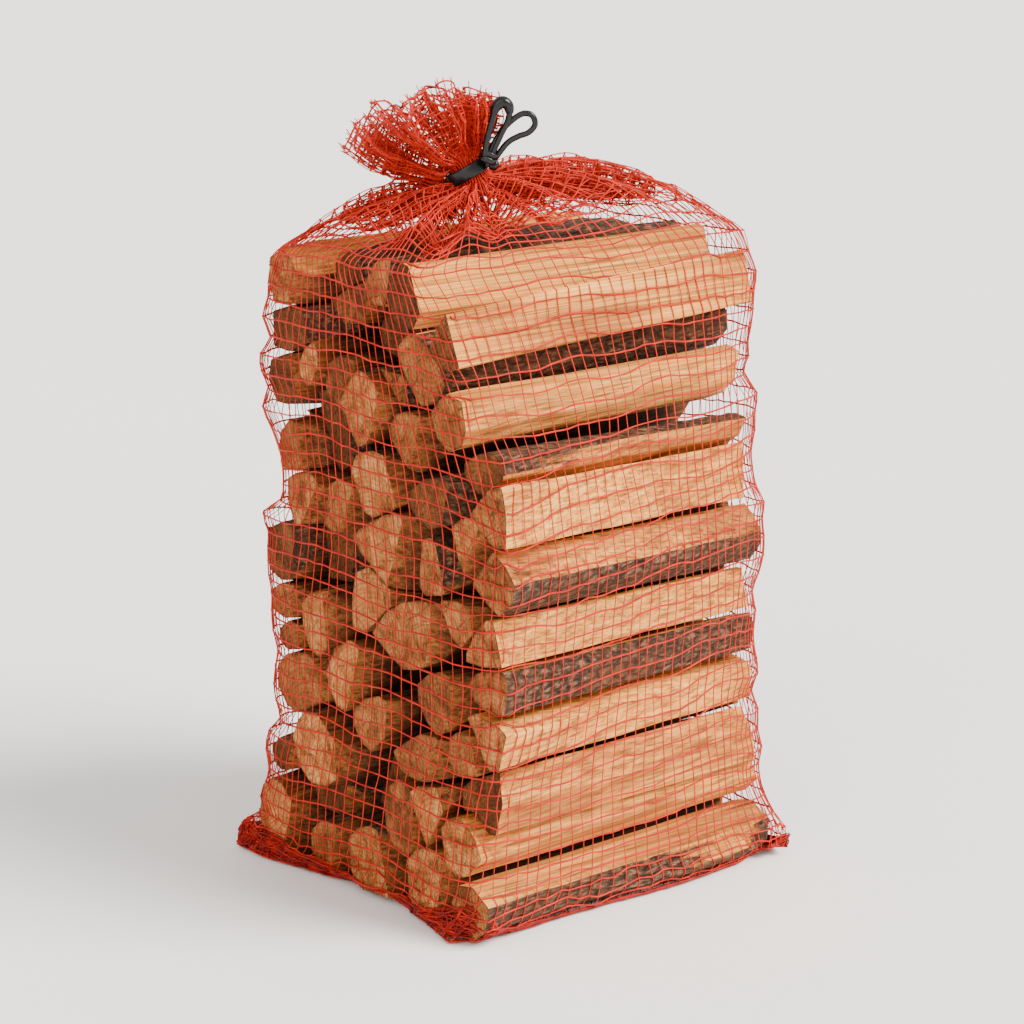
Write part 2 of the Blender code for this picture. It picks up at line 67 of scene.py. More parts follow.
# Sticks with bark on part of their side: the sector that it covers, in degrees round the
# stick, where 0 faces the back, 90 faces up, 180 faces the front and 270 faces down.
BARK_SECTORS = {
    "front_stick_03": (120, 300),
    "front_stick_05": (30, 175),
    "front_stick_07": (168, 330),
    "front_stick_09": (100, 262),
    "front_stick_13": (150, 345),
    "second_stick_02": (-20, 200),
    "second_stick_03": (60, 300),
    "second_stick_05": (20, 170),
    "middle_stick_02": (-60, 120),
    "middle_stick_04": (-40, 130),
    "middle_stick_06": (-100, 60),
    "middle_stick_09": (-30, 140),
    "middle_stick_10": (0, 200),
    "back_stick_02": (0, 200),
    "back_stick_03": (-120, 200),
    "back_stick_04": (-40, 90),
    "back_stick_05": (-120, 90),
    "back_stick_06": (-30, 200),
    "back_stick_10": (-80, 190),
    "back_stick_11": (20, 200),
    "back_stick_12": (-60, 60),
    "back_stick_14": (-90, 120),
    "back_stick_16": (-30, 90),
    "back_stick_17": (-90, 100),
    "back_stick_18": (0, 180),
    "back_stick_20": (-60, 100),
    "inner_stick_01": (40, 180),
    "inner_stick_02": (0, 220),
}

# How dark or orange a stick is, from 0 for the palest to 1. Others draw theirs at random.
TONES = {
    "front_stick_01": 0.10, "front_stick_02": 0.32, "front_stick_04": 0.12, "front_stick_05": 0.55,
    "front_stick_06": 0.10, "front_stick_07": 0.45, "front_stick_08": 0.15, "front_stick_09": 0.35,
    "front_stick_10": 0.10, "front_stick_11": 0.20, "front_stick_12": 0.12, "front_stick_13": 0.22,
}

# The same for the sawn ends of the near face, layer by layer from the top stick down. Above 1 an end is
# darker still: partly dark bark, partly painted shade for ends that lie deep in shadow.
END_TONES = {f"{layer}_stick_{number:02d}": tone for layer, tones in (
    ("front", (1.30, 1.10, 0.75, 0.75, 1.10, 0.85, 0.85, 0.70, 0.75, 0.60, 1.15, 0.45, 0.95)),
    ("second", (0.80, 0.90, 1.10, 0.50, 0.55, 0.65, 0.55, 1.00, 0.75, 0.90, 0.30, 0.90, 0.55)),
    ("middle", (1.15, 0.35, 1.10, 0.35, 0.45, 0.40, 0.25, 0.60, 0.45, 0.70)),
    ("back", (0.70, 1.25, 1.20, 0.45, 1.15, 1.25, 0.80, 0.50, 0.60, 1.15,
              1.20, 0.35, 0.70, 1.10, 0.65, 0.20, 1.15, 1.25, 0.10, 0.75)),
    ("inner", (1.20, 1.30)),
) for number, tone in enumerate(tones, 1)}

# Three of the top sticks rise towards their far ends: mm.
FAR_RISE = {"front_stick_02": 14.0, "front_stick_03": 10.0, "front_stick_04": 7.0}

# The lowest front stick bellies out below its front edge: X, then how far, in mm.
BELLY_STICK = "front_stick_13"
BELLY = ((-98, 0.0), (-48, 0.5), (-21, 2.5), (10, 7.5), (35, 10.0), (64, 11.0), (77, 11.5), (96, 6.5),
         (102, 2.0))


def activate(piece):
    """Select one object and nothing else."""
    bpy.ops.object.select_all(action="DESELECT")
    piece.select_set(True)
    bpy.context.view_layer.objects.active = piece


def finish_piece(piece, node):
    """Put the piece on the one body and hide the solid that it stands for."""
    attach(piece, "root")
    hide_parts(node)


def name_piece(piece, name):
    """Name an object and its mesh alike."""
    piece.name = name
    piece.data.name = name
    return piece


def table_column(table, index, unit=1.0):
    """One column of a table of stops, in metres where the unit is MM."""
    return [stop[index] * unit for stop in table]


# Node materials. Colours are linear, and scales are per metre.

SIDE_BUMP = 1.6 * MM
END_BUMP = 1.0 * MM
TIE_BUMP = 0.2 * MM
SAW_SLANT = math.radians(9.0)


class Finish:
    """A procedural material: short calls that lay its nodes."""

    def __init__(self, name):
        self.material = bpy.data.materials.new(name)
        self.material.use_nodes = True
        self.tree = self.material.node_tree
        self.shader = self.tree.nodes["Principled BSDF"]

    def node(self, kind, values=None, **settings):
        """Add a node, set its properties, then its inputs from numbers or other nodes' outputs."""
        made = self.tree.nodes.new("ShaderNode" + kind)
        for key, value in settings.items():
            setattr(made, key, value)
        for key, value in (values or {}).items():
            self.feed(made.inputs[key], value)
        return made

    def feed(self, socket, value):
        """Give an input another node's output or a plain value."""
        if isinstance(value, bpy.types.NodeSocket):
            self.tree.links.new(value, socket)
        else:
            socket.default_value = value

    def place(self):
        return self.node("TexCoord").outputs["Object"]

    def attribute(self, name, output):
        return self.node("Attribute", attribute_name=name).outputs[output]

    def scaled(self, vector, scale, turn=0.0):
        """Stretch a place along each axis, and turn it about X."""
        values = {"Vector": vector, "Scale": scale, "Rotation": (turn, 0.0, 0.0)}
        return self.node("Mapping", values).outputs["Vector"]

    def noise(self, vector, scale, detail=4.0, roughness=0.6, distortion=0.0):
        """Noise at one scale, or at a scale of its own along each axis."""
        if isinstance(scale, tuple):
            vector, scale = self.scaled(vector, scale), 1.0
        values = {"Vector": vector, "Scale": scale, "Detail": detail, "Roughness": roughness,
                  "Distortion": distortion}
        return self.node("TexNoise", values).outputs["Fac"]

    def ramp(self, value, *stops):
        """A colour ramp through (place, colour) stops."""
        made = self.node("ValToRGB", {"Fac": value})
        elements = made.color_ramp.elements
        while len(elements) < len(stops):
            elements.new(0.5)
        for element, (place, colour) in zip(elements, stops):
            element.position = place
            element.color = (*colour, 1.0)
        return made.outputs["Color"]

    def steps(self, value, low, high, to_low=0.0, to_high=1.0):
        """Stretch a value from one range to another, held at both ends."""
        values = {"Value": value, "From Min": low, "From Max": high, "To Min": to_low, "To Max": to_high}
        return self.node("MapRange", values, clamp=True).outputs["Result"]

    def mix(self, share, first, second, blend="MIX"):
        """Mix two colours. The colour sockets of a Mix node come after those of its other kinds."""
        made = self.node("Mix", {0: share}, data_type="RGBA", blend_type=blend)
        for index, colour in ((6, first), (7, second)):
            self.feed(made.inputs[index], (*colour, 1.0) if isinstance(colour, tuple) else colour)
        return made.outputs[2]

    def shaded(self, colour, value, *span):
        """Multiply a colour by a value that is first stretched over a span."""
        return self.mix(1.0, colour, self.steps(value, *span), "MULTIPLY")

    def maths(self, operation, *values, clamp=False):
        made = self.node("Math", dict(enumerate(values)), operation=operation, use_clamp=clamp)
        return made.outputs[0]

    def bump(self, height, distance, strength=1.0):
        values = {"Height": height, "Distance": distance, "Strength": strength}
        self.tree.links.new(self.node("Bump", values).outputs["Normal"], self.shader.inputs["Normal"])

    def wire(self, socket, value):
        self.tree.links.new(value, self.shader.inputs[socket])

    def set(self, **values):
        for key, value in values.items():
            self.shader.inputs[key.replace("_", " ")].default_value = value


def stick_side():
    """The long sides: pale split wood with fine fibres, dark fissured bark where it is left on, and painted
    shade where a side lies inside the stack.
    """
    finish = Finish("stick_side")
    grain = finish.attribute("grain", "Vector")
    tone = finish.attribute("tone", "Fac")
    barky = finish.attribute("barky", "Fac")
    broad = finish.noise(grain, (5.0, 45.0, 45.0), 4.0, 0.55, 0.6)
    streaks = finish.noise(grain, (5.0, 330.0, 330.0), 5.0, 0.68, 0.12)
    fibres = finish.noise(grain, (30.0, 1300.0, 1300.0), 3.0, 0.7)
    lines = finish.noise(grain, (9.0, 620.0, 620.0), 2.0, 0.6)
    pale = finish.ramp(streaks, (0.34, (0.60, 0.175, 0.024)), (0.48, (0.90, 0.345, 0.056)),
                       (0.66, (1.0, 0.52, 0.135)))
    warm = finish.ramp(streaks, (0.34, (0.15, 0.038, 0.008)), (0.48, (0.36, 0.105, 0.019)),
                       (0.68, (0.58, 0.20, 0.044)))
    # Painted shade: near-black wood for the sides inside the stack, mixed in where the tone runs above 0.75.
    painted_shade_wood = finish.ramp(streaks, (0.34, (0.018, 0.007, 0.003)), (0.50, (0.060, 0.022, 0.008)),
                        (0.70, (0.17, 0.065, 0.022)))
    share = finish.maths("ADD", tone, finish.steps(broad, 0.38, 0.66, -0.20, 0.55), clamp=True)
    wood = finish.mix(share, pale, warm)
    wood = finish.mix(finish.steps(tone, 0.75, 1.2), wood, painted_shade_wood)
    wood = finish.shaded(wood, fibres, 0.34, 0.58, 0.66, 1.05)
    wood = finish.shaded(wood, lines, 0.36, 0.50, 0.52, 1.04)

    plates = finish.node("TexVoronoi", {"Vector": finish.scaled(grain, (85.0, 240.0, 240.0)), "Scale": 1.0},
                         feature="DISTANCE_TO_EDGE").outputs["Distance"]
    fissure = finish.steps(plates, 0.02, 0.22)
    rough = finish.noise(grain, (170.0, 420.0, 420.0), 5.0, 0.70)
    patch = finish.noise(grain, (20.0, 55.0, 55.0), 3.0, 0.5)
    crust = finish.ramp(rough, (0.34, (0.014, 0.007, 0.0035)), (0.50, (0.080, 0.036, 0.018)),
                        (0.66, (0.28, 0.145, 0.075)))
    crust = finish.mix(finish.steps(patch, 0.42, 0.68, 0.0, 0.7), crust, (0.13, 0.048, 0.018))
    crust = finish.shaded(crust, fissure, 0.0, 1.0, 0.45, 1.05)

    edge = finish.maths("ADD", barky, finish.steps(streaks, 0.3, 0.7, -0.22, 0.22))
    mask = finish.steps(edge, 0.44, 0.56)
    finish.wire("Base Color", finish.mix(mask, wood, crust))
    finish.wire("Roughness", finish.steps(rough, 0.3, 0.7, 0.90, 0.72))
    wood_height = finish.maths("ADD", finish.maths("MULTIPLY", streaks, 0.6),
                               finish.maths("MULTIPLY", fibres, 0.4))
    bark_height = finish.maths("ADD", finish.maths("MULTIPLY", fissure, 0.5), rough)
    bark_above_wood = finish.maths("SUBTRACT", bark_height, wood_height)
    finish.bump(finish.maths("MULTIPLY_ADD", mask, bark_above_wood, wood_height), SIDE_BUMP, 0.9)
    finish.set(Specular_IOR_Level=0.25)
    return finish.material


def sawn_end():
    """The sawn ends: saw lines, growth rings, a few cracks, a darker rim, and painted shade on the ends that
    lie in shadow.
    """
    finish = Finish("sawn_end")
    grain = finish.attribute("grain", "Vector")
    tone = finish.attribute("end_tone", "Fac")
    rim = finish.attribute("rim", "Fac")
    slant = finish.scaled(finish.place(), (1.0, 1.0, 1.0), SAW_SLANT)
    saw = finish.noise(slant, (1.0, 1250.0, 60.0), 4.0, 0.72, 0.1)
    blotch = finish.noise(grain, (20.0, 70.0, 70.0), 4.0, 0.6, 0.8)
    speckle = finish.noise(grain, (200.0, 900.0, 900.0), 2.0, 0.6)
    parts = finish.node("SeparateXYZ", {"Vector": grain})
    across = parts.outputs["Y"]
    up = parts.outputs["Z"]
    reach = finish.maths("SQRT", finish.maths("ADD", finish.maths("MULTIPLY", across, across),
                                              finish.maths("MULTIPLY", up, up)))
    wobble = finish.noise(grain, (1.0, 40.0, 40.0), 2.0)
    rings = finish.maths("SINE", finish.maths("ADD", finish.maths("MULTIPLY", reach, 2600.0),
                                              finish.maths("MULTIPLY", wobble, 9.0)))
    turn = finish.maths("ARCTAN2", up, across)
    crack_place = finish.node("CombineXYZ", {"X": finish.maths("MULTIPLY", turn, 3.2),
                                             "Y": finish.maths("MULTIPLY", reach, 25.0), "Z": 0.0})
    crack_noise = finish.noise(crack_place.outputs["Vector"], 1.0, 3.0, 0.5)
    crack = finish.steps(finish.maths("ABSOLUTE", finish.maths("SUBTRACT", crack_noise, 0.5)), 0.0, 0.012,
                         1.0, 0.0)
    pale = finish.ramp(blotch, (0.34, (0.46, 0.135, 0.028)), (0.50, (0.74, 0.27, 0.068)),
                       (0.68, (0.95, 0.46, 0.16)))
    brown = finish.ramp(blotch, (0.34, (0.14, 0.037, 0.009)), (0.50, (0.29, 0.085, 0.019)),
                        (0.68, (0.46, 0.165, 0.042)))
    body = finish.mix(finish.steps(tone, 0.0, 1.0), pale, brown)
    # Painted shade: ends with a tone above 1 go near black, partly for dark bark and partly for the shadow
    # that they lie in.
    body = finish.mix(finish.steps(tone, 0.95, 1.45), body, (0.060, 0.022, 0.009))
    body = finish.shaded(body, saw, 0.36, 0.62, 0.50, 1.12)
    body = finish.shaded(body, rings, -1.0, 1.0, 0.80, 1.06)
    body = finish.shaded(body, speckle, 0.35, 0.6, 0.74, 1.05)
    body = finish.mix(finish.maths("MULTIPLY", crack, 0.6), body, (0.04, 0.018, 0.010))
    edge = finish.maths("MULTIPLY", finish.steps(rim, 0.55, 1.0), finish.steps(blotch, 0.36, 0.56, 0.9, 0.4))
    body = finish.mix(edge, body, (0.050, 0.018, 0.007))
    finish.wire("Base Color", body)
    finish.wire("Roughness", finish.steps(saw, 0.3, 0.7, 0.95, 0.80))
    height = finish.maths("ADD", finish.maths("MULTIPLY", saw, 0.8), finish.maths("MULTIPLY", speckle, 0.3))
    height = finish.maths("SUBTRACT", height, finish.maths("MULTIPLY", crack, 0.8))
    finish.bump(height, END_BUMP, 0.8)
    finish.set(Specular_IOR_Level=0.2)
    return finish.material


def net_thread(name, light, dark):
    """Red plastic thread with uneven colour and a satin gloss."""
    finish = Finish(name)
    place = finish.place()
    patch = finish.noise(place, 120.0, 3.0)
    fleck = finish.noise(place, 1400.0, 2.0)
    body = finish.mix(finish.steps(patch, 0.36, 0.66), dark, light)
    finish.wire("Base Color", finish.shaded(body, fleck, 0.3, 0.7, 0.82, 1.12))
    finish.wire("Roughness", finish.steps(fleck, 0.3, 0.7, 0.40, 0.58))
    finish.set(Specular_IOR_Level=0.20)
    return finish.material


def black_tie():
    """Glossy black plastic with faint scuffs."""
    finish = Finish("black_tie")
    place = finish.place()
    scuff = finish.noise(place, 260.0, 4.0, 0.6)
    fine = finish.noise(place, 1800.0, 2.0)
    finish.wire("Base Color", finish.ramp(scuff, (0.35, (0.0025, 0.0025, 0.003)),
                                          (0.75, (0.007, 0.007, 0.008))))
    finish.wire("Roughness", finish.steps(scuff, 0.3, 0.7, 0.20, 0.34))
    finish.bump(fine, TIE_BUMP, 0.2)
    finish.set(Specular_IOR_Level=0.32)
    return finish.material


STICK_SIDE = stick_side()
SAWN_END = sawn_end()
WEFT_RED = net_thread("net_weft_red", (0.54, 0.018, 0.004), (0.31, 0.008, 0.002))
WARP_RED = net_thread("net_warp_red", (0.60, 0.026, 0.006), (0.40, 0.013, 0.003))
HEM_RED = net_thread("net_hem_red", (0.40, 0.011, 0.004), (0.18, 0.004, 0.002))
BLACK_TIE = black_tie()


# Sticks.

EDGE_STEP = 2.6 * MM       # how closely a stick's outline is cut up
LENGTH_CUTS = 31
CAP_CUTS = 3               # rings between the rim of an end and its middle
CLOSE = 0.5 * MM           # nearer than this to an end's plane counts as on it
ROUNDING = 0.9 * MM        # how far the long edges are worn
ROUNDING_STEPS = 2
FIBRE_DEPTH = 0.55 * MM
BARK_DEPTH = 0.75 * MM
BARK_FADE = 24.0           # degrees over which bark gives way to wood
SAW_DEPTH = 0.6 * MM
RIM_WEAR = 0.5 * MM
RIM_REACH = 8.0 * MM       # how far from an end its edge is worn
BACK_SWELL = 2.2 * MM      # how much fuller the back sticks are behind their ends
SWELL_REACH = 25.0 * MM
LOWEST = 0.7 * MM          # no stick goes below this, so that the net fits under it
SLANT_TILT = 32.0          # degrees
SLANT_SHARE = (0.18, 0.42)   # of the end's width
SLANT_SLOPE = (1.3, 2.3)
SLANT_LIMIT = 28.0 * MM
TOP_LAYER = 318.0 * MM     # a stick that reaches above this is open to the sky
# Painted shade: the inner sides of the sticks darken over this reach from an end, for the shadow deep in the
# stack.
PAINTED_SHADE_REACH = 22.0 * MM     # how far from an end the inner sides get darker
SMOOTH_ANGLE = math.radians(42.0)


def end_outline(points, x):
    """The corners of one end of a stick in order round it, from its loose triangles."""
    found = []
    for point in points:
        if abs(point.x - x) < 0.3 * MM and all((point - other).length > 0.05 * MM for other in found):
            found.append(point.copy())
    middle = sum(found, Vector()) / len(found)
    found.sort(key=lambda p: math.atan2(p.z - middle.z, p.y - middle.y))
    return found, middle


def matched(near, near_middle, far, far_middle):
    """Turn the far outline's order so that its corners answer the near ones."""
    count = len(near)

    def misfit(shift):
        return sum(((near[i] - near_middle) - (far[(i + shift) % count] - far_middle)).length
                   for i in range(count))

    best = min(range(count), key=misfit)
    return far[best:] + far[:best]


def outline_solid(name, near, far):
    """A prism drawn out from the near outline to the far one, as by hand: circle, then extrude."""
    bpy.ops.mesh.primitive_circle_add(vertices=len(near), radius=0.02, fill_type="NGON")
    piece = name_piece(bpy.context.object, name)
    for vertex, point in zip(piece.data.vertices, near):
        vertex.co = point
    bpy.ops.object.mode_set(mode="EDIT")
    bpy.ops.mesh.select_all(action="SELECT")
    bpy.ops.mesh.extrude_region_move(TRANSFORM_OT_translate={"value": (far[0].x - near[0].x, 0.0, 0.0)})
    bpy.ops.object.mode_set(mode="OBJECT")
    for vertex in piece.data.vertices:
        if vertex.co.x > (near[0].x + far[0].x) / 2:
            nearest = min(range(len(near)), key=lambda i: (vertex.co.yz - near[i].yz).length)
            vertex.co = far[nearest]
    return piece


def pick(piece, kind, wanted):
    """In edit mode, select just the edges or faces for which wanted(element) holds."""
    bpy.ops.mesh.select_all(action="DESELECT")
    shape = bmesh.from_edit_mesh(piece.data)
    for element in [element for element in getattr(shape, kind) if wanted(element)]:
        element.select_set(True)
    shape.select_flush_mode()
    bmesh.update_edit_mesh(piece.data)


def length_x(element):
    """How far an edge or face reaches along the stick."""
    places = [vertex.co.x for vertex in element.verts]
    return max(places) - min(places)


def on_spoke(edge):
    """Whether an edge runs from a cap's rim to its middle, where many edges meet."""
    return max(len(vertex.link_edges) for vertex in edge.verts) > 9


def strip_cuts(face):
    """How many cuts the short edges of a side strip need."""
    short = min(face.edges, key=length_x)
    across = max(edge.calc_length() for edge in face.edges if length_x(edge) <= length_x(short) + MM)
    return round(across / EDGE_STEP) - 1


def cut_up(piece, low_x, high_x):
    """Wear the long edges, cut the outline into short steps and the length into many rows."""
    half = (high_x - low_x) / 2
    bpy.ops.mesh.select_mode(type="FACE")
    pick(piece, "faces", lambda face: length_x(face) < half)
    bpy.ops.mesh.delete(type="ONLY_FACE")
    bpy.ops.mesh.select_mode(type="EDGE")
    pick(piece, "edges", lambda edge: length_x(edge) > half)
    bpy.ops.mesh.bevel(offset=ROUNDING, segments=ROUNDING_STEPS, affect="EDGES", clamp_overlap=True)
    pick(piece, "faces", lambda face: length_x(face) < half)
    bpy.ops.mesh.delete(type="ONLY_FACE")
    shape = bmesh.from_edit_mesh(piece.data)
    for cuts in sorted({strip_cuts(face) for face in shape.faces}, reverse=True):
        if cuts < 1:
            continue
        pick(piece, "edges", lambda edge: length_x(edge) < half
             and strip_cuts(edge.link_faces[0]) == cuts)
        bpy.ops.mesh.subdivide(number_cuts=cuts)
    pick(piece, "edges", lambda edge: length_x(edge) > half)
    bpy.ops.mesh.subdivide(number_cuts=LENGTH_CUTS)
    for x in (low_x, high_x):
        pick(piece, "edges", lambda edge: all(abs(vertex.co.x - x) < CLOSE for vertex in edge.verts))
        bpy.ops.mesh.edge_face_add()
        bpy.ops.mesh.select_mode(type="FACE")
        bpy.ops.mesh.poke()
        bpy.ops.mesh.select_mode(type="EDGE")
        pick(piece, "edges", lambda edge: length_x(edge) < CLOSE and not edge.is_boundary
             and abs(edge.verts[0].co.x - x) < CLOSE and on_spoke(edge))
        bpy.ops.mesh.subdivide(number_cuts=CAP_CUTS)
    bpy.ops.mesh.select_all(action="SELECT")
    bpy.ops.mesh.normals_make_consistent(inside=False)


def split_end(piece, low_x, high_x, chance):
    """Let the front part of the near end slant back, as where a stick is split off askew."""
    shape = bmesh.from_edit_mesh(piece.data)
    tilt = math.radians(chance.uniform(-SLANT_TILT, SLANT_TILT))
    way = Vector((0.0, -math.cos(tilt), math.sin(tilt)))
    reaches = [way.dot(vertex.co) for vertex in shape.verts if vertex.co.x < low_x + CLOSE]
    line = max(reaches) - chance.uniform(*SLANT_SHARE) * (max(reaches) - min(reaches))
    slope = chance.uniform(*SLANT_SLOPE)
    bpy.ops.mesh.select_all(action="SELECT")
    bpy.ops.mesh.bisect(plane_co=way * line, plane_no=way)
    shape = bmesh.from_edit_mesh(piece.data)
    for vertex in shape.verts:
        start = low_x + min(max(0.0, way.dot(vertex.co) - line) * slope, SLANT_LIMIT)
        vertex.co.x = start + (vertex.co.x - low_x) * (high_x - start) / (high_x - low_x)
    bmesh.update_edit_mesh(piece.data)


def skin_noise(co, along, across, shift):
    """Noise on a stick's skin, at one scale along the stick and another across it."""
    return noise.noise(Vector((co.x * along, co.y * across, co.z * across)) + shift)


def roughen(piece, sector, seed, swell):
    """Long fibres on split sides, rough plates on bark, ragged rims, and a fuller middle by swell."""
    mesh = piece.data
    low_x = min(vertex.co.x for vertex in mesh.vertices)
    high_x = max(vertex.co.x for vertex in mesh.vertices)
    shift = Vector((seed * 1.7, seed * 0.9, seed * 2.3))
    normals = [vertex.normal.copy() for vertex in mesh.vertices]
    cover = bark_cover(np.degrees([math.atan2(normal.z, normal.y) for normal in normals]), sector)
    for vertex, normal, barky in zip(mesh.vertices, normals, cover):
        co = vertex.co
        end = min(co.x - low_x, high_x - co.x)
        if end > CLOSE:
            wave = skin_noise(co, 8.0, 40.0, shift)
            split = skin_noise(co, 7.0, 170.0, shift)
            fibre = skin_noise(co, 30.0, 420.0, shift)
            plates = skin_noise(co, 130.0, 260.0, shift)
            wood_push = (wave * 1.3 + split * 1.0 + fibre * 0.5) * FIBRE_DEPTH
            bark_push = (plates + 0.6 * wave) * BARK_DEPTH + 0.2 * MM
            push = wood_push * (1.0 - barky) + bark_push * barky
            push += swell * min(1.0, end / SWELL_REACH)
            rim = max(0.0, 1.0 - end / RIM_REACH)
            push -= RIM_WEAR * rim * abs(skin_noise(co, 400.0, 400.0, shift))
            vertex.co = co + Vector((0.0, normal.y, normal.z)) * push
            vertex.co.z = max(vertex.co.z, LOWEST)
        else:
            uneven_saw = skin_noise(co, 0.0, 110.0, shift)
            vertex.co = co - Vector((normal.x, 0.0, 0.0)) * abs(uneven_saw) * SAW_DEPTH


def bark_cover(angles, sector):
    """How much bark there is at each angle round a stick: 1 inside its sector, fading over its edges."""
    if sector is None:
        return np.zeros(len(angles))
    middle = (sector[0] + sector[1]) / 2
    apart = np.abs((angles - middle + 180.0) % 360.0 - 180.0)
    return np.clip(0.5 + ((sector[1] - sector[0]) / 2 - apart) / BARK_FADE, 0.0, 1.0)


def shown_share(name, angles, top):
    """How far each side of a stick faces out of the stack: inner sides get painted shade, darker for the
    shadow that the stack casts on them.
    """
    if "front" in name:
        return np.ones(len(angles))
    turn = np.radians(angles)
    outside = np.zeros(len(angles))
    if "back" in name:
        outside = np.maximum(outside, np.cos(turn))
    if top > TOP_LAYER:
        outside = np.maximum(outside, np.sin(turn))
    return np.clip((outside - 0.15) / 0.4, 0.0, 1.0)


def paint_stick(piece, middle, sector, tones, chance):
    """Give the faces their finish, and lay the grain, tone, bark and rim on as attributes; the tone carries
    painted shade on the sides inside the stack.
    """
    mesh = piece.data
    mesh.materials.clear()
    mesh.materials.append(STICK_SIDE)
    mesh.materials.append(SAWN_END)
    places = np.empty(len(mesh.vertices) * 3)
    mesh.vertices.foreach_get("co", places)
    places = places.reshape(-1, 3)
    low_x = places[:, 0].min()
    high_x = places[:, 0].max()
    for face in mesh.polygons:
        near_end = min(face.center.x - low_x, high_x - face.center.x) < SAW_DEPTH
        if near_end and abs(face.normal.x) > 0.6:
            face.material_index = 1
    turn = np.array(Matrix.Rotation(chance.uniform(0.0, 2.0 * math.pi), 3, "X"))
    pith = np.array((chance.uniform(-2.0, 2.0), chance.uniform(-0.02, 0.02), chance.uniform(-0.02, 0.02)))
    end = np.minimum(places[:, 0] - low_x, high_x - places[:, 0])
    facing = np.degrees([math.atan2(vertex.normal.z, vertex.normal.y) for vertex in mesh.vertices])
    shown = shown_share(piece.name, facing, places[:, 2].max())
    # Painted shade on the inner sides: their tone rises from 0.88 at an end to 1.28 this far in, standing in
    # for the shadow between the sticks.
    painted_shade_tone = 0.88 + 0.40 * np.clip(end / PAINTED_SHADE_REACH, 0.0, 1.0)
    rim = np.zeros(len(places))
    for face in mesh.polygons:
        if face.material_index == 0 and abs(face.normal.x) < 0.3:
            rim[list(face.vertices)] = 1.0
    attributes = {
        "grain": (places - np.array(middle)) @ turn.T + pith,
        "tone": tones[0] * shown + painted_shade_tone * (1.0 - shown),
        "end_tone": np.full(len(places), tones[1]),
        "rim": rim,
        "barky": bark_cover(facing, sector),
    }
    for name, values in attributes.items():
        kind = "FLOAT_VECTOR" if name == "grain" else "FLOAT"
        layer = mesh.attributes.new(name, kind, "POINT")
        layer.data.foreach_set("vector" if name == "grain" else "value", values.astype(np.float32).ravel())


def belly_out(piece):
    """Push the lower front of a stick outwards, most towards its far end."""
    places = table_column(BELLY, 0, MM)
    depths = table_column(BELLY, 1, MM)
    front = min(vertex.co.y for vertex in piece.data.vertices)
    for vertex in piece.data.vertices:
        low = min(1.0, max(0.0, (22.0 * MM - vertex.co.z) / (13.0 * MM)))
        ahead = min(1.0, max(0.0, (front + 32.0 * MM - vertex.co.y) / (14.0 * MM)))
        vertex.co.y -= float(np.interp(vertex.co.x, places, depths)) * low * ahead


def wood_stick(node, number):
    """A split stick that follows its solid's outline, with worn edges and a rough skin."""
    chance = random.Random(100 + number)
    points = [v.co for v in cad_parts[node].data.vertices]
    low_x = min(p.x for p in points)
    high_x = max(p.x for p in points)
    near, near_middle = end_outline(points, low_x)
    far, far_middle = end_outline(points, high_x)
    if len(near) != len(far):
        raise ValueError(node + " has unlike ends")
    far = matched(near, near_middle, far, far_middle)
    far = [point + UP * FAR_RISE.get(node, 0.0) * MM for point in far]
    piece = outline_solid(node + "_wood", near, far)
    activate(piece)
    bpy.ops.object.mode_set(mode="EDIT")
    cut_up(piece, low_x, high_x)
    if "front" not in node:
        split_end(piece, low_x, high_x, random.Random(700 + number))
    bpy.ops.object.mode_set(mode="OBJECT")
    if node == BELLY_STICK:
        belly_out(piece)
    sector = BARK_SECTORS.get(node)
    end_tone = END_TONES.get(node, chance.uniform(0.0, 0.8))
    tone = TONES.get(node, chance.uniform(0.15, 0.55))
    roughen(piece, sector, 3.0 + number * 1.37, BACK_SWELL if "back" in node else 0.0)
    paint_stick(piece, (near_middle + far_middle) / 2, sector, (tone, end_tone), chance)
    activate(piece)
    bpy.ops.object.shade_smooth_by_angle(angle=SMOOTH_ANGLE)
    finish_piece(piece, node)
    return piece


def all_sticks():
    """Every stick of the frame, in the order of its name."""
    names = sorted(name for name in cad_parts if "stick" in name)
    return [wood_stick(name, number) for number, name in enumerate(names)]


# The net.

COLUMNS = 126              # threads round the net
CROWDING = 2.0             # how much closer they run at the two corners where the net hangs clear
CROWD_REACH = 0.022        # of the way round
UNDER_ROWS = 9
BODY_SPACING = (4.5, 5.0, 6.0, 7.5) + (9.35,) * 33   # mm between the rows up the stack
SHOULDER_ROWS = 14
NECK_ROWS = 3
TAIL_ROWS = 8
GIRTH = 740.0 * MM         # of the open net; what the neck doesn't need lies in folds
SIDE_SHARES = (0.236, 0.264, 0.236, 0.264)           # near, front, far and back sides
# Where the net leaves the floor: a line for each side, X and Y in mm.
FOOT_LINES = (
    ((-109, 111), (-110, 87), (-106, 68), (-100, 45), (-96, 29), (-94, 12), (-94, -6), (-98, -25),
     (-104, -47), (-110, -69)),
    ((-110, -69), (-97, -75), (-74, -80), (-48, -81), (-21, -83), (10, -87), (35, -89), (77, -88),
     (96, -82), (112, -79)),
    ((112, -79), (105, 93)),
    ((105, 93), (-109, 111)),
)
TOP_CORNERS = ((-107, 66), (-105, -43), (105, -56), (103, 68))   # X and Y in mm, where the shoulder starts
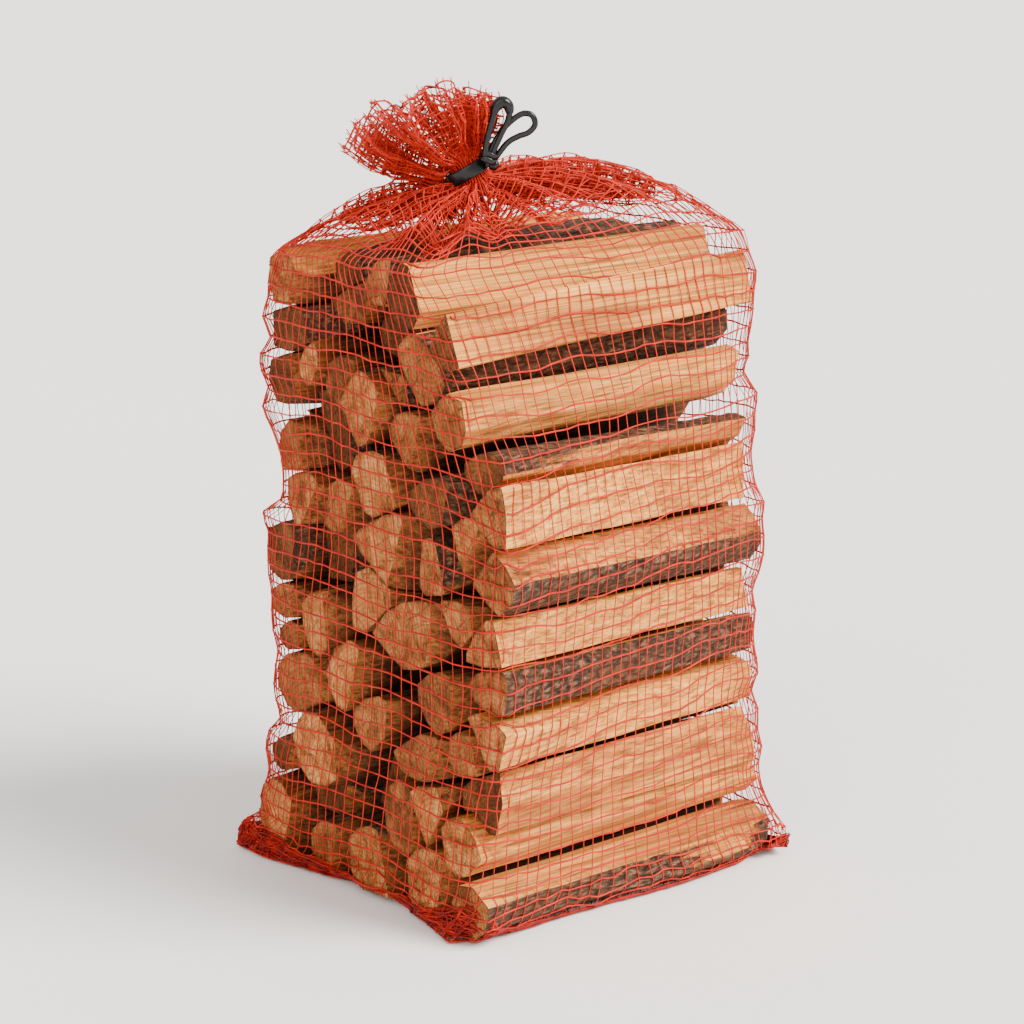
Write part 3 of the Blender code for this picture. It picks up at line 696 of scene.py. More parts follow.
# Where the net hangs clear of the sticks at two corners: height, then Y, in mm.
NEAR_BACK_EDGE = ((0, 111), (16, 107), (27, 91), (47, 84), (77, 75), (92, 79), (125, 80), (158, 77),
                  (185, 80), (201, 76), (228, 77), (254, 81), (280, 79), (307, 73), (326, 71), (340, 62))
FAR_FRONT_EDGE = ((0, -85), (16, -84), (27, -72), (64, -68), (88, -73), (111, -73), (138, -70), (159, -67),
                  (181, -65), (202, -61), (224, -63), (246, -63), (275, -65), (294, -68), (310, -64),
                  (330, -55), (342, -48))
NEAR_REACH = -107.0 * MM   # where those two edges stand, unless a stick reaches further
FAR_REACH = 107.0 * MM
NEAR_ENDS = -84.0 * MM     # the sticks' skin beyond these is their near and far ends
FAR_ENDS = 88.0 * MM
BAND_HALF = 12.0 * MM      # the sticks this much above and below a row of the net shape it
BOX_GAP = 2.0 * MM
CORNER_TURNS = 32          # of smoothing, where the net hangs clear
CORNER_FREE = 5.0          # columns beside such a corner that aren't pulled taut, and as many half so
PULL_TURNS = 45
PULL_STEP = 0.85
PULL_CLIMB = 0.12          # how much of a pull goes up or down
CORNER_WAY = np.array((-0.7, 0.7, 0.0))
CORNER_PUSH = (-1.8, 1.6)  # mm outwards, row by row, at the two clear corners
NECK_RADII = (9.0 * MM, 6.2 * MM)
NECK_HALF = 5.5 * MM
NECK_SQUEEZE = 0.35        # how deep the neck's folds are tucked in
INNER_SQUEEZE = 0.45
SEAM_HEIGHT = 0.8 * MM
FOOT_HEIGHT = 1.0          # mm
LOWEST_KNOT = 1.2 * MM
THREAD_CLEARANCE = 0.47 * MM
SKIN_DEPTH = 2.0 * MM      # how far from the sticks' skin a knot is looked for, and then a point of a thread
BURIED_DEPTH = 14.0 * MM
ROUND_STEPS = 3            # how often a stretch is halved to lead it round an edge
WEFT_RADIUS = 0.45 * MM
WARP_RADIUS = 0.29 * MM
WIDTH_STRETCH = 9          # points of a thread from one drawn width to the next
KNOT_SHAPE = (0.82, 0.56, 0.46)
KNOT_SIZES = (0.8, 1.25)   # mm
DOME_FOLDS = (13, 30)      # main and fine folds round the shoulder
DOME_FOLD_LIMIT = 8.0 * MM
DOME_FINE_DEPTH = 2.3 * MM
TAIL_FOLDS = (10, 23)
TAIL_FOLD_DEPTHS = (8.5 * MM, 2.4 * MM)
TAIL_START = 9.0 * MM      # how far the mouth's first row is from where the fan spreads
INNER_FOLDS = ((1.7, 2.5 * MM, 0.93), (4.4, 5.0 * MM, 0.84))   # seed, how much lower, how long the tail is
FOLD_START = 4
HEM_ROWS = 6               # of the net, that the bunched bottom edge lies along
HEM_STRANDS = 16
HEM_CROSSINGS = 460
HEM_LOWEST = 1.1 * MM
HEM_LOOSENESS = 3.0 * MM
# How high the bunched bottom edge stands in mm, by the share of the way round from the near back corner.
HEM_HEIGHTS = ((0.0, 15.0), (0.02, 13.0), (0.06, 9.0), (0.10, 6.0), (0.14, 5.0), (0.18, 7.0), (0.205, 12.0),
               (0.225, 18.0), (0.24, 17.0), (0.25, 11.0), (0.27, 5.0), (0.30, 2.5), (0.34, 1.2), (0.47, 1.2),
               (0.49, 6.0), (0.50, 9.0), (0.51, 6.0), (0.53, 2.0), (0.72, 2.0), (0.736, 4.0), (0.75, 2.0),
               (0.96, 3.0), (0.985, 11.0), (1.0, 15.0))


def stack_skin(pieces):
    """One search tree of every stick's skin, and all its points."""
    points = []
    faces = []
    for piece in pieces:
        start = len(points)
        points.extend(vertex.co.copy() for vertex in piece.data.vertices)
        faces.extend([start + index for index in face.vertices] for face in piece.data.polygons)
    return BVHTree.FromPolygons(points, faces), np.array(points)


def buried(tree, point):
    """Whether a point lies inside a stick: a ray from it meets that stick's skin from within."""
    way = Vector((0.1, 0.2, 1.0)).normalized()
    normal = tree.ray_cast(point, way)[1]
    return normal is not None and normal.dot(way) > 0.0


def held_off(tree, points, before=None, depth=SKIN_DEPTH):
    """Keep points out of the sticks: stop them where they would enter, then hold them off the skin."""
    clearance = THREAD_CLEARANCE
    for index, row in enumerate(points):
        point = Vector(row)
        if before is not None:
            start = Vector(before[index])
            way = point - start
            place, normal, face, distance = tree.ray_cast(start, way.normalized(), way.length + clearance)
            if place is not None:
                point = place - way.normalized() * clearance
        place, normal, face, distance = tree.find_nearest(point, depth)
        if place is not None:
            away = point - place
            if away.dot(normal) < 0.0 and (distance < clearance or buried(tree, point)):
                point = place + normal * clearance
            elif distance < clearance:
                point = place + away.normalized() * clearance
        points[index] = point


def around(tree, start, end, depth):
    """Points that lead a thread from start to end round a stick's edge instead of through it."""
    way = end - start
    if depth == 0 or tree.ray_cast(start, way.normalized(), way.length)[0] is None:
        return []
    middle = (start + end) / 2
    place, normal, face, distance = tree.find_nearest(middle)
    if (middle - place).dot(normal) < 0.0 or distance < THREAD_CLEARANCE:
        middle = place + normal * THREAD_CLEARANCE
    return around(tree, start, middle, depth - 1) + [middle] + around(tree, middle, end, depth - 1)


def wrapped(tree, line, closed):
    """The same thread with points added where it bends round the sticks."""
    points = [Vector(point) for point in line]
    made = []
    for index, point in enumerate(points):
        made.append(point)
        if closed or index + 1 < len(points):
            made.extend(around(tree, point, points[(index + 1) % len(points)], ROUND_STEPS))
    return np.array(made)


def column_shares():
    """How far round the net each column lies: they crowd at the two corners where the net hangs clear."""
    marks = np.linspace(0.0, 1.0, 4001)
    apart = np.abs((marks * 2.0 + 0.5) % 1.0 - 0.5) / 2.0
    density = 1.0 + CROWDING * np.exp(-(apart / CROWD_REACH) ** 2)
    passed = np.concatenate(([0.0], np.cumsum((density[1:] + density[:-1]) / 2)))
    return np.interp(np.arange(COLUMNS) / COLUMNS, passed / passed[-1], marks)


def four_sided(lines):
    """The columns along a line for each side, from the near back corner through the near front one."""
    ring = []
    starts = np.cumsum((0.0,) + SIDE_SHARES)
    for share in column_shares():
        side = min(3, int(np.searchsorted(starts, share, side="right")) - 1)
        along = (share - starts[side]) / SIDE_SHARES[side]
        line = np.array(lines[side], float)
        marks = np.concatenate(([0.0], np.cumsum(np.linalg.norm(np.diff(line, axis=0), axis=1))))
        ring.append([np.interp(along * marks[-1], marks, values) for values in line.T])
    return np.array(ring)


def straight_sides(corners):
    """A straight line for each side, from corner to corner."""
    return [(corners[side], corners[(side + 1) % 4]) for side in range(4)]


def level_ring(lines, height):
    """A level row of the net along lines of X and Y in mm."""
    return four_sided([[(x * MM, y * MM, height) for x, y in line] for line in lines])


def edge_place(edge, height):
    """Where an edge of the net stands at a height."""
    return float(np.interp(height / MM, table_column(edge, 0), table_column(edge, 1))) * MM


def stack_ring(skin, height):
    """A loose box round the sticks near one height, wide at the two corners where the net hangs clear."""
    beside = skin[np.abs(skin[:, 2] - height) < BAND_HALF]
    near = beside[beside[:, 0] < NEAR_ENDS]
    far = beside[beside[:, 0] > FAR_ENDS]
    low_x = near[:, 0].min() - BOX_GAP
    high_x = far[:, 0].max() + BOX_GAP
    back = max(edge_place(NEAR_BACK_EDGE, height), near[:, 1].max() + BOX_GAP)
    front = min(edge_place(FAR_FRONT_EDGE, height), far[:, 1].min() - BOX_GAP)
    ring = four_sided(straight_sides([
        (min(low_x, NEAR_REACH), back, height), (low_x, near[:, 1].min() - BOX_GAP, height),
        (max(high_x, FAR_REACH), front, height), (high_x, far[:, 1].max() + BOX_GAP, height),
    ]))
    held = (1.0 - pull_shares())[:, None]
    for turn in range(CORNER_TURNS if height > 20.0 * MM else 1):
        beside = (np.roll(ring, 1, axis=0) + np.roll(ring, -1, axis=0)) / 2
        ring = ring + (beside - ring) / 2 * held
    return ring


def pull_shares():
    """How freely each column may be pulled taut: not at the two corners where the net hangs clear."""
    columns = np.arange(COLUMNS)
    apart = np.full(COLUMNS, float(COLUMNS))
    for corner in (0.0, COLUMNS * (SIDE_SHARES[0] + SIDE_SHARES[1])):
        step = np.abs(columns - corner)
        apart = np.minimum(apart, np.minimum(step, COLUMNS - step))
    return np.clip((apart - CORNER_FREE) / CORNER_FREE, 0.0, 1.0)


def column_turns():
    """The turn of each column round the neck: the near back corner is on its low side."""
    return math.pi + 2.0 * math.pi * np.arange(COLUMNS) / COLUMNS


def fold_phase(turns, count, seed):
    """Where each column lies in its fold: count folds round the net, some wide and some narrow."""
    return (count * turns + 1.1 * np.sin(2.0 * turns + seed) + 0.9 * np.sin(5.0 * turns + 2.3 * seed)
            + 0.6 * np.sin(9.0 * turns + 0.7 * seed))


def ring_tangents(ring):
    """The way the ring runs at each of its knots."""
    tangents = np.roll(ring, -1, axis=0) - np.roll(ring, 1, axis=0)
    return tangents / np.maximum(np.linalg.norm(tangents, axis=1, keepdims=True), 1e-9)


def fold_depth(ring, count):
    """How deep count folds are that take up the part of the girth that this ring doesn't need."""
    around_ring = np.linalg.norm(np.roll(ring, -1, axis=0) - ring, axis=1).sum()
    return 0.5 * math.sqrt(max(0.0, GIRTH ** 2 - around_ring ** 2)) / count


def folded(ring, outward, phase, depth, rest):
    """Lay the ring in folds. Rest is 1 where the crests stay on the ring, and 0 where it is halfway."""
    wave = np.cos(phase) - rest
    overhang = 0.30 * np.sin(2.0 * phase)
    return ring + outward * (wave * depth)[:, None] - ring_tangents(ring) * (overhang * depth)[:, None]


def neck_ring(along, squeeze):
    """A ring of the gathered neck, its folds tucked into the middle."""
    turns = column_turns()
    tuck = 1.0 - squeeze * (0.5 + 0.5 * np.sin(37.0 * turns + 0.4))
    side = np.outer(NECK_RADII[0] * np.cos(turns) * tuck, NECK_SIDE)
    deep = np.outer(NECK_RADII[1] * np.sin(turns) * tuck, DEPTH)
    return np.array(NECK) + np.array(NECK_AXIS) * along + side + deep


def dome_rows(top, neck, seed, drop):
    """The shoulder: it rises steeply from the stack, flattens and runs in to the neck in folds."""
    turns = column_turns()
    high_side = 0.5 + 0.5 * np.cos(turns)
    front = np.clip(-1.25 * np.sin(turns) - 0.2, 0.0, 1.0)
    power = 2.2 + 1.2 * high_side - 0.7 * front
    main_phase = fold_phase(turns, DOME_FOLDS[0], 0.8 + seed)
    fine_phase = fold_phase(turns, DOME_FOLDS[1], 2.1 + seed)
    patch = 0.75 + 0.25 * np.sin(3.0 * turns + 0.5)
    rows = []
    for row in range(1, SHOULDER_ROWS):
        share = row / SHOULDER_ROWS
        ring = top * (1.0 - share) + neck * share
        rise = 1.0 - (1.0 - share) ** power
        ring[:, 2] = top[:, 2] + (neck[:, 2] - top[:, 2]) * rise
        ring[:, 2] += (7.0 * (1.0 - front) - 2.0 * front) * MM * math.sin(math.pi * share ** 1.4)
        fade = min(1.0, share / 0.45) ** 1.3 * min(1.0, (1.0 - share) / 0.14)
        depth = min(fold_depth(ring, DOME_FOLDS[0]), DOME_FOLD_LIMIT) * fade * patch
        fine = DOME_FINE_DEPTH * fade * (0.4 + 0.6 * share) * np.ones(COLUMNS)
        ring[:, 2] -= drop * fade
        upward = np.tile(np.array(UP), (COLUMNS, 1))
        ring = folded(ring, upward, main_phase + 0.5 * math.sin(4.0 * share), depth, 1.0)
        rows.append(folded(ring, upward, fine_phase + 1.5 * share, fine, 0.3))
    return rows


def tail_rows(seed, size_share):
    """The loose mouth of the net: a ruffled fan that leans towards the low side."""
    turns = column_turns()
    across = np.cos(turns)
    depth = np.sin(turns)
    main_phase = fold_phase(turns, TAIL_FOLDS[0], 0.3 + seed)
    fine_phase = fold_phase(turns, TAIL_FOLDS[1], 1.2 + seed)
    lobe = np.clip((-across - 0.35) / 0.25, 0.0, 1.0)
    full_reach = (51.0 - 14.0 * np.maximum(across, 0.0) + 10.0 * lobe * lobe * (3.0 - 2.0 * lobe)) * MM
    full_reach *= size_share
    start = np.array(NECK) + np.array(NECK_AXIS) * (NECK_HALF - 6.0 * MM)
    rows = []
    for row in range(1, TAIL_ROWS + 1):
        share = row / TAIL_ROWS
        spread = np.where(across > 0.0, math.radians(54.0 - 12.0 * share), math.radians(74.0 - 28.0 * share))
        tilt = across * spread
        reach = TAIL_START + (full_reach - TAIL_START) * share
        lean = depth * math.radians(34.0 - 8.0 * share)
        side = np.sin(tilt) * np.cos(lean * 0.6)
        ahead = np.cos(tilt) * np.cos(lean)
        way = np.outer(side, NECK_SIDE) + np.outer(np.sin(lean), DEPTH) + np.outer(ahead, NECK_AXIS)
        way /= np.linalg.norm(way, axis=1, keepdims=True)
        ring = start + way * reach[:, None]
        outward = np.cross(ring_tangents(ring), way)
        size = min(1.0, 0.25 + share) * (0.8 + 0.2 * np.sin(3.0 * turns + 1.0))
        ring = folded(ring, outward, main_phase + 0.6 * share, TAIL_FOLD_DEPTHS[0] * size, 0.0)
        ring = folded(ring, outward, fine_phase - 1.2 * share, TAIL_FOLD_DEPTHS[1] * size, 0.0)
        ring += way * (2.4 * MM * share * np.sin(main_phase + 1.3))[:, None]
        rows.append(ring)
    return rows


def pull_taut(tree, knots, first, last):
    """Pull the rows between first and last taut over the sticks."""
    share = pull_shares()[:, None]
    for turn in range(PULL_TURNS):
        middle = knots[first + 1:last]
        beside = (np.roll(middle, 1, axis=1) + np.roll(middle, -1, axis=1)) / 2
        above = (knots[first:last - 1] + knots[first + 2:last + 1]) / 2
        move = (0.5 * beside + 0.5 * above) - middle
        move[:, :, 2] *= PULL_CLIMB
        flat = (middle + move * PULL_STEP * share).reshape(-1, 3)
        held_off(tree, flat, middle.reshape(-1, 3).copy())
        knots[first + 1:last] = flat.reshape(middle.shape)


def uneven(knots, first, last, size, chance):
    """Shift knots along the net a little, in patches and singly, so that no two meshes are alike."""
    rows, columns = knots.shape[:2]
    for row in range(first, last):
        for column in range(columns):
            place = Vector(knots[row, column]) * 24.0
            patch = noise.noise_vector(place)
            fine = noise.noise_vector(place * 5.3 + Vector((7.0, 3.0, 1.0)))
            along = knots[row, (column + 1) % columns] - knots[row, column - 1]
            along /= max(np.linalg.norm(along), 1e-9)
            up = knots[min(row + 1, rows - 1), column] - knots[row - 1, column]
            up /= max(np.linalg.norm(up), 1e-9)
            slide = patch.x * 3.2 + fine.x * 0.9 + chance.uniform(-0.25, 0.25)
            lift = patch.y * 4.4 + fine.y * 0.8 + chance.uniform(-0.2, 0.2)
            knots[row, column] += (along * slide + up * lift) * size


def crumpled(knots, first, last, size, chance):
    """Push knots about in all directions, as where the net is bunched up."""
    for row in range(first, last):
        for column in range(knots.shape[1]):
            place = Vector(knots[row, column]) * 90.0
            wave = noise.noise_vector(place) * 1.5
            loose = Vector([chance.uniform(-0.5, 0.5) for axis in range(3)])
            knots[row, column] += (wave + loose) * size


def net_knots(tree, skin):
    """Where every knot of the net lies, row by row from the seam under the stack to the mouth."""
    foot = level_ring(FOOT_LINES, FOOT_HEIGHT * MM)
    seam_start = np.array((*FOOT_LINES[0][0], 0.0)) * MM
    seam_way = np.array((*FOOT_LINES[2][0], 0.0)) * MM - seam_start
    shares = np.clip((foot - seam_start) @ seam_way / (seam_way @ seam_way), 0.0, 1.0)
    seam = seam_start + shares[:, None] * seam_way
    seam[:, 2] = SEAM_HEIGHT
    rows = [seam + (foot - seam) * (row / UNDER_ROWS) for row in range(UNDER_ROWS)]
    rows.append(foot)
    height = FOOT_HEIGHT
    for spacing in BODY_SPACING[:-1]:
        height += spacing
        rows.append(stack_ring(skin, height * MM))
    top_row = len(rows)
    top = level_ring(straight_sides(TOP_CORNERS), (height + BODY_SPACING[-1]) * MM)
    rows.append(top)
    neck = [neck_ring(along, NECK_SQUEEZE) for along in np.linspace(-NECK_HALF, NECK_HALF, NECK_ROWS)]
    rows.extend(dome_rows(top, neck[0], 0.0, 0.0))
    neck_row = len(rows)
    rows.extend(neck)
    tail_row = len(rows)
    rows.extend(tail_rows(0.0, 1.0))
    knots = np.array(rows)
    pull_taut(tree, knots, UNDER_ROWS, top_row)
    chance = random.Random(11)
    loose = 1.0 - pull_shares()
    for row in range(UNDER_ROWS + 4, top_row):
        for corner, sign in ((0, 1.0), (COLUMNS // 2, -1.0)):
            push = chance.uniform(*CORNER_PUSH) * MM * sign
            for step in range(-8, 9):
                column = (corner + step) % COLUMNS
                knots[row, column] += CORNER_WAY * push * loose[column]
    taut = knots.copy()
    uneven(knots, UNDER_ROWS + 1, neck_row - 4, 1.15 * MM, chance)
    crumpled(knots, UNDER_ROWS + 1, UNDER_ROWS + 4, 1.6 * MM, chance)
    crumpled(knots, top_row + 4, neck_row - 1, 0.9 * MM, chance)
    crumpled(knots, tail_row, len(rows), 1.1 * MM, chance)
    low_part = knots[UNDER_ROWS + 1:neck_row].reshape(-1, 3).copy()
    low_part[:, 2] = np.maximum(low_part[:, 2], LOWEST_KNOT)
    held_off(tree, low_part, taut[UNDER_ROWS + 1:neck_row].reshape(-1, 3))
    knots[UNDER_ROWS + 1:neck_row] = low_part.reshape(-1, COLUMNS, 3)
    resting(tree, knots[top_row:neck_row])
    return knots, top_row, neck_row


def resting(tree, rows):
    """Lift what hangs below the tops of the sticks on to them."""
    for row in rows:
        for point in row:
            start = Vector((point[0], point[1], 0.5))
            place = tree.ray_cast(start, -UP)[0]
            if place is not None and point[2] < place.z + THREAD_CLEARANCE:
                point[2] = place.z + THREAD_CLEARANCE


def inner_folds(tree, top, chance):
    """The folds that lie behind and under the outer ones, from the shoulder through the neck to the tail."""
    wefts = []
    warps = []
    for seed, drop, size_share in INNER_FOLDS:
        dome = dome_rows(top, neck_ring(-NECK_HALF, NECK_SQUEEZE), seed, drop)[FOLD_START:]
        resting(tree, dome)
        neck = [neck_ring(along, INNER_SQUEEZE) for along in np.linspace(-NECK_HALF, NECK_HALF, NECK_ROWS)]
        grid = np.array(dome + neck + tail_rows(seed, size_share))
        crumpled(grid, 0, len(dome) - 1, 1.0 * MM, chance)
        crumpled(grid, len(dome) + NECK_ROWS, len(grid), 1.3 * MM, chance)
        resting(tree, grid[:len(dome)])
        wefts.extend(smooth_line(ring, True, 1) for ring in grid)
        warps.extend(smooth_line(grid[:, column], False, 1) for column in range(COLUMNS))
    net_threads("net_fold_weft", wefts, True, WEFT_RADIUS, 0, WEFT_RED, chance, 0.85, 1.3)
    net_threads("net_fold_warp", warps, False, WARP_RADIUS, 0, WEFT_RED, chance, 0.85, 1.3)


def smooth_line(points, closed, cuts):
    """Points along a smooth line through the knots, with cuts new points in every gap."""
    if closed:
        before, start, end, after = (np.roll(points, shift, axis=0) for shift in (1, 0, -1, -2))
    else:
        padded = np.vstack([2 * points[0] - points[1], points, 2 * points[-1] - points[-2]])
        before, start, end, after = padded[:-3], padded[1:-2], padded[2:-1], padded[3:]
    line = []
    for cut in range(cuts + 1):
        t = cut / (cuts + 1)
        line.append(0.5 * (2 * start + (end - before) * t
                           + (2 * before - 5 * start + 4 * end - after) * t ** 2
                           + (3 * start - before - 3 * end + after) * t ** 3))
    made = np.stack(line, axis=1).reshape(-1, 3)
    return made if closed else np.vstack([made, points[-1:]])


def thread_piece(name, lines, closed, radius, sides, finish, widths):
    """Draw every line as a round thread, all in one piece."""
    curve = bpy.data.curves.new(name, "CURVE")
    curve.dimensions = "3D"
    curve.bevel_depth = radius
    curve.bevel_resolution = sides
    curve.use_fill_caps = not closed
    curve.twist_mode = "MINIMUM"
    for line, width in zip(lines, widths):
        spline = curve.splines.new("POLY")
        spline.points.add(len(line) - 1)
        spline.points.foreach_set("co", np.hstack([line, np.ones((len(line), 1))]).ravel())
        spline.points.foreach_set("radius", width)
        spline.use_cyclic_u = closed
        spline.use_smooth = True
    piece = bpy.data.objects.new(name, curve)
    bpy.context.scene.collection.objects.link(piece)
    activate(piece)
    bpy.ops.object.convert(target="MESH")
    piece = name_piece(bpy.context.object, name)
    piece.data.materials.clear()
    piece.data.materials.append(finish)
    return piece


def uneven_width(count, stretches, chance, low, high):
    """The widths at a thread's points: they drift between low and high, stretch by stretch."""
    marks = [chance.uniform(low, high) for mark in range(max(2, stretches))]
    return np.interp(np.linspace(0.0, len(marks) - 1.0, count), range(len(marks)), marks)


def net_threads(name, lines, closed, radius, sides, finish, chance, thinnest, thickest, tree=None):
    """A piece of the net: threads whose width drifts, led round the edges of the tree's sticks."""
    led = [wrapped(tree, line, closed) for line in lines] if tree else lines
    widths = [uneven_width(len(points), len(line) // WIDTH_STRETCH, chance, thinnest, thickest)
              for points, line in zip(led, lines)]
    finish_piece(thread_piece(name, led, closed, radius, sides, finish, widths), "net_bag")


def knot_lumps(knots, neck_row, chance):
    """A small lump wherever two threads cross: one shape, copied to every knot."""
    bpy.ops.mesh.primitive_uv_sphere_add(segments=4, ring_count=3, radius=1.0)
    bpy.ops.object.mode_set(mode="EDIT")
    bpy.ops.mesh.quads_convert_to_tris()
    bpy.ops.object.mode_set(mode="OBJECT")
    lump = bpy.context.object
    shape = np.array([vertex.co[:] for vertex in lump.data.vertices])
    faces = np.array([face.vertices[:] for face in lump.data.polygons])
    bpy.data.objects.remove(lump)
    rows, columns = knots.shape[:2]
    points = []
    polygons = []
    for row in range(1, rows):
        if neck_row - 2 <= row <= neck_row + NECK_ROWS:
            continue
        for column in range(columns):
            along = Vector(knots[row, (column + 1) % columns] - knots[row, column - 1]).normalized()
            up = Vector(knots[min(row + 1, rows - 1), column] - knots[row - 1, column]).normalized()
            out = along.cross(up).normalized()
            size = chance.uniform(*KNOT_SIZES) * MM
            axes = [way * share * size for way, share in zip((along, up, out), KNOT_SHAPE)]
            polygons.append(faces + len(points) * len(shape))
            points.append(shape @ np.array(axes) + knots[row, column])
    mesh = bpy.data.meshes.new("net_knots")
    mesh.from_pydata(np.concatenate(points).tolist(), [], np.concatenate(polygons).tolist())
    mesh.polygons.foreach_set("use_smooth", [True] * len(mesh.polygons))
    piece = bpy.data.objects.new("net_knots", mesh)
    bpy.context.scene.collection.objects.link(piece)
    mesh.materials.append(WEFT_RED)
    finish_piece(piece, "net_bag")


def hem(knots, tree, chance):
    """The bunched bottom edge: threads laid along the net's lowest rows and short ones that cross them."""
    low_rows = knots[UNDER_ROWS:UNDER_ROWS + HEM_ROWS]
    foot = low_rows[0]
    outward = np.cross(ring_tangents(foot), np.array(UP))
    outward *= np.sign(np.sum(outward * (foot - foot.mean(axis=0)), axis=1))[:, None]
    turns = np.linspace(0.0, 2.0 * math.pi, COLUMNS, endpoint=False)
    height = np.interp(column_shares(), table_column(HEM_HEIGHTS, 0), table_column(HEM_HEIGHTS, 1)) * MM
    bulk = 0.25 + 0.75 * np.minimum(1.0, height / (10.0 * MM))
    rings = []
    for strand in range(HEM_STRANDS):
        shift = chance.uniform(0.0, 50.0)
        wave = [noise.noise_vector(Vector((turn * 9.0, shift, 1.0))) for turn in turns]
        level = HEM_LOWEST + height * (strand / (HEM_STRANDS - 1))
        level += np.array([push.x for push in wave]) * HEM_LOOSENESS * bulk
        level = np.maximum(HEM_LOWEST, level)
        out = (np.array([push.y for push in wave]) * 3.2 + chance.uniform(-1.0, 0.8)) * MM * bulk
        ring = np.empty((COLUMNS, 3))
        for column in range(COLUMNS):
            rise = np.maximum.accumulate(low_rows[:, column, 2])
            for axis in (0, 1):
                ring[column, axis] = np.interp(level[column], rise, low_rows[:, column, axis])
        ring[:, 2] = level
        ring += outward * out[:, None]
        rings.append(ring)
    share_below = np.cumsum(height)
    crossings = []
    for crossing in range(HEM_CROSSINGS):
        start = int(np.searchsorted(share_below, chance.uniform(0.0, share_below[-1] * 0.999)))
        points = []
        for row in sorted(chance.sample(range(HEM_STRANDS), 4)):
            start = (start + chance.choice((-1, 0, 0, 1))) % COLUMNS
            points.append(rings[row][start] + outward[start] * chance.uniform(-0.5, 1.0) * MM)
        crossings.append(smooth_line(np.array(points), False, 1))
    for ring in rings:
        held_off(tree, ring, depth=BURIED_DEPTH)
    lines = [smooth_line(ring, True, 1) for ring in rings]
    net_threads("net_hem", lines, True, WEFT_RADIUS, 0, HEM_RED, chance, 0.8, 1.4)
    net_threads("net_hem_crossings", crossings, False, WARP_RADIUS, 0, HEM_RED, chance, 0.9, 1.5)


def net(pieces):
    """The net over the stack: its wefts, warps and knots, inner folds and bunched bottom edge."""
    tree, skin = stack_skin(pieces)
    knots, top_row, neck_row = net_knots(tree, skin)
    chance = random.Random(5)
    rings = []
    for row in range(1, len(knots)):
        line = smooth_line(knots[row], True, 1)
        if row <= neck_row:
            held_off(tree, line, depth=BURIED_DEPTH)
        rings.append(line)
    net_threads("net_weft", rings[:top_row], True, WEFT_RADIUS, 1, WEFT_RED, chance, 0.78, 1.25, tree)
    net_threads("net_top_weft", rings[top_row:], True, WEFT_RADIUS, 1, WEFT_RED, chance, 0.78, 1.25, tree)
    ends = np.array([chance.uniform(0.5, 3.5) for column in range(COLUMNS)]) * MM
    low_parts = []
    top_parts = []
    for column in range(COLUMNS):
        line = knots[:, column]
        way = line[-1] - line[-2]
        tip = line[-1] + way / np.linalg.norm(way) * ends[column]
        line = smooth_line(np.vstack([line, tip]), False, 1)
        low_part = line[:2 * neck_row].copy()
        held_off(tree, low_part, depth=BURIED_DEPTH)
        line[:2 * neck_row] = low_part
        low_parts.append(line[:2 * top_row + 1])
        top_parts.append(line[2 * top_row:])
    net_threads("net_warp", low_parts, False, WARP_RADIUS, 0, WARP_RED, chance, 0.8, 1.2, tree)
    net_threads("net_top_warp", top_parts, False, WARP_RADIUS, 0, WARP_RED, chance, 0.8, 1.2)
    knot_lumps(knots, neck_row, chance)
    inner_folds(tree, knots[top_row], chance)
    hem(knots, tree, chance)


# The tie.

TIE_GAP = 0.6 * MM
TIE_WIDTH = 6.6 * MM
TIE_THICKNESS = 1.7 * MM
CORD_RADIUS = 1.55 * MM
BULB_GROWTH = 2.0
BULB_REACH = 5.2                   # mm
LOOP_SWING = 1.1 * MM              # how far apart in depth a loop's ends are from its middle
SHORT_DEPTH = -9.6 * MM
LONG_DEPTH = -7.0 * MM
COLLAR_PLACE = (10.4, 8.0)         # mm across and up from the middle of the neck
COLLAR_DEPTH = -8.5 * MM
SHORT_LOOP = ((8.3, 9.0), (9.8, 18.0), (12.2, 27.0), (13.9, 32.6), (17.0, 35.4), (20.3, 33.0),
              (20.2, 27.0), (16.4, 19.0), (12.0, 9.4))
LONG_LOOP = ((9.8, 8.8), (15.9, 19.5), (21.2, 25.5), (27.0, 29.3), (31.8, 28.6), (33.4, 24.0),
             (30.2, 20.0), (25.0, 18.0), (19.5, 14.6), (13.4, 6.8))


def on_neck_plane(across, up, depth):
    """A place from mm across and up from the middle of the neck, in the plane that faces the view."""
    return NECK + ACROSS * across * MM + UP * up * MM + DEPTH * depth


def rounded_ring(name, centre, side, depth, axis, radii, thickness, width, steps):
    """A smooth band: a ring with a rounded rectangular section, turned about the axis."""
    bpy.ops.mesh.primitive_torus_add(major_segments=steps, minor_segments=16, major_radius=1.0,
                                     minor_radius=0.1)
    ring = name_piece(bpy.context.object, name)
    for vertex in ring.data.vertices:
        turn = math.atan2(vertex.co.y, vertex.co.x)
        out = (math.hypot(vertex.co.x, vertex.co.y) - 1.0) / 0.1
        up = vertex.co.z / 0.1
        out = math.copysign(abs(out) ** 0.62, out) * thickness / 2
        up = math.copysign(abs(up) ** 0.45, up) * width / 2
        vertex.co = (centre + side * math.cos(turn) * (radii[0] + out)
                     + depth * math.sin(turn) * (radii[1] + out) + axis * up)
    activate(ring)
    bpy.ops.object.mode_set(mode="EDIT")
    bpy.ops.mesh.select_all(action="SELECT")
    bpy.ops.mesh.normals_make_consistent(inside=False)
    bpy.ops.object.mode_set(mode="OBJECT")
    bpy.ops.object.shade_smooth()
    return ring


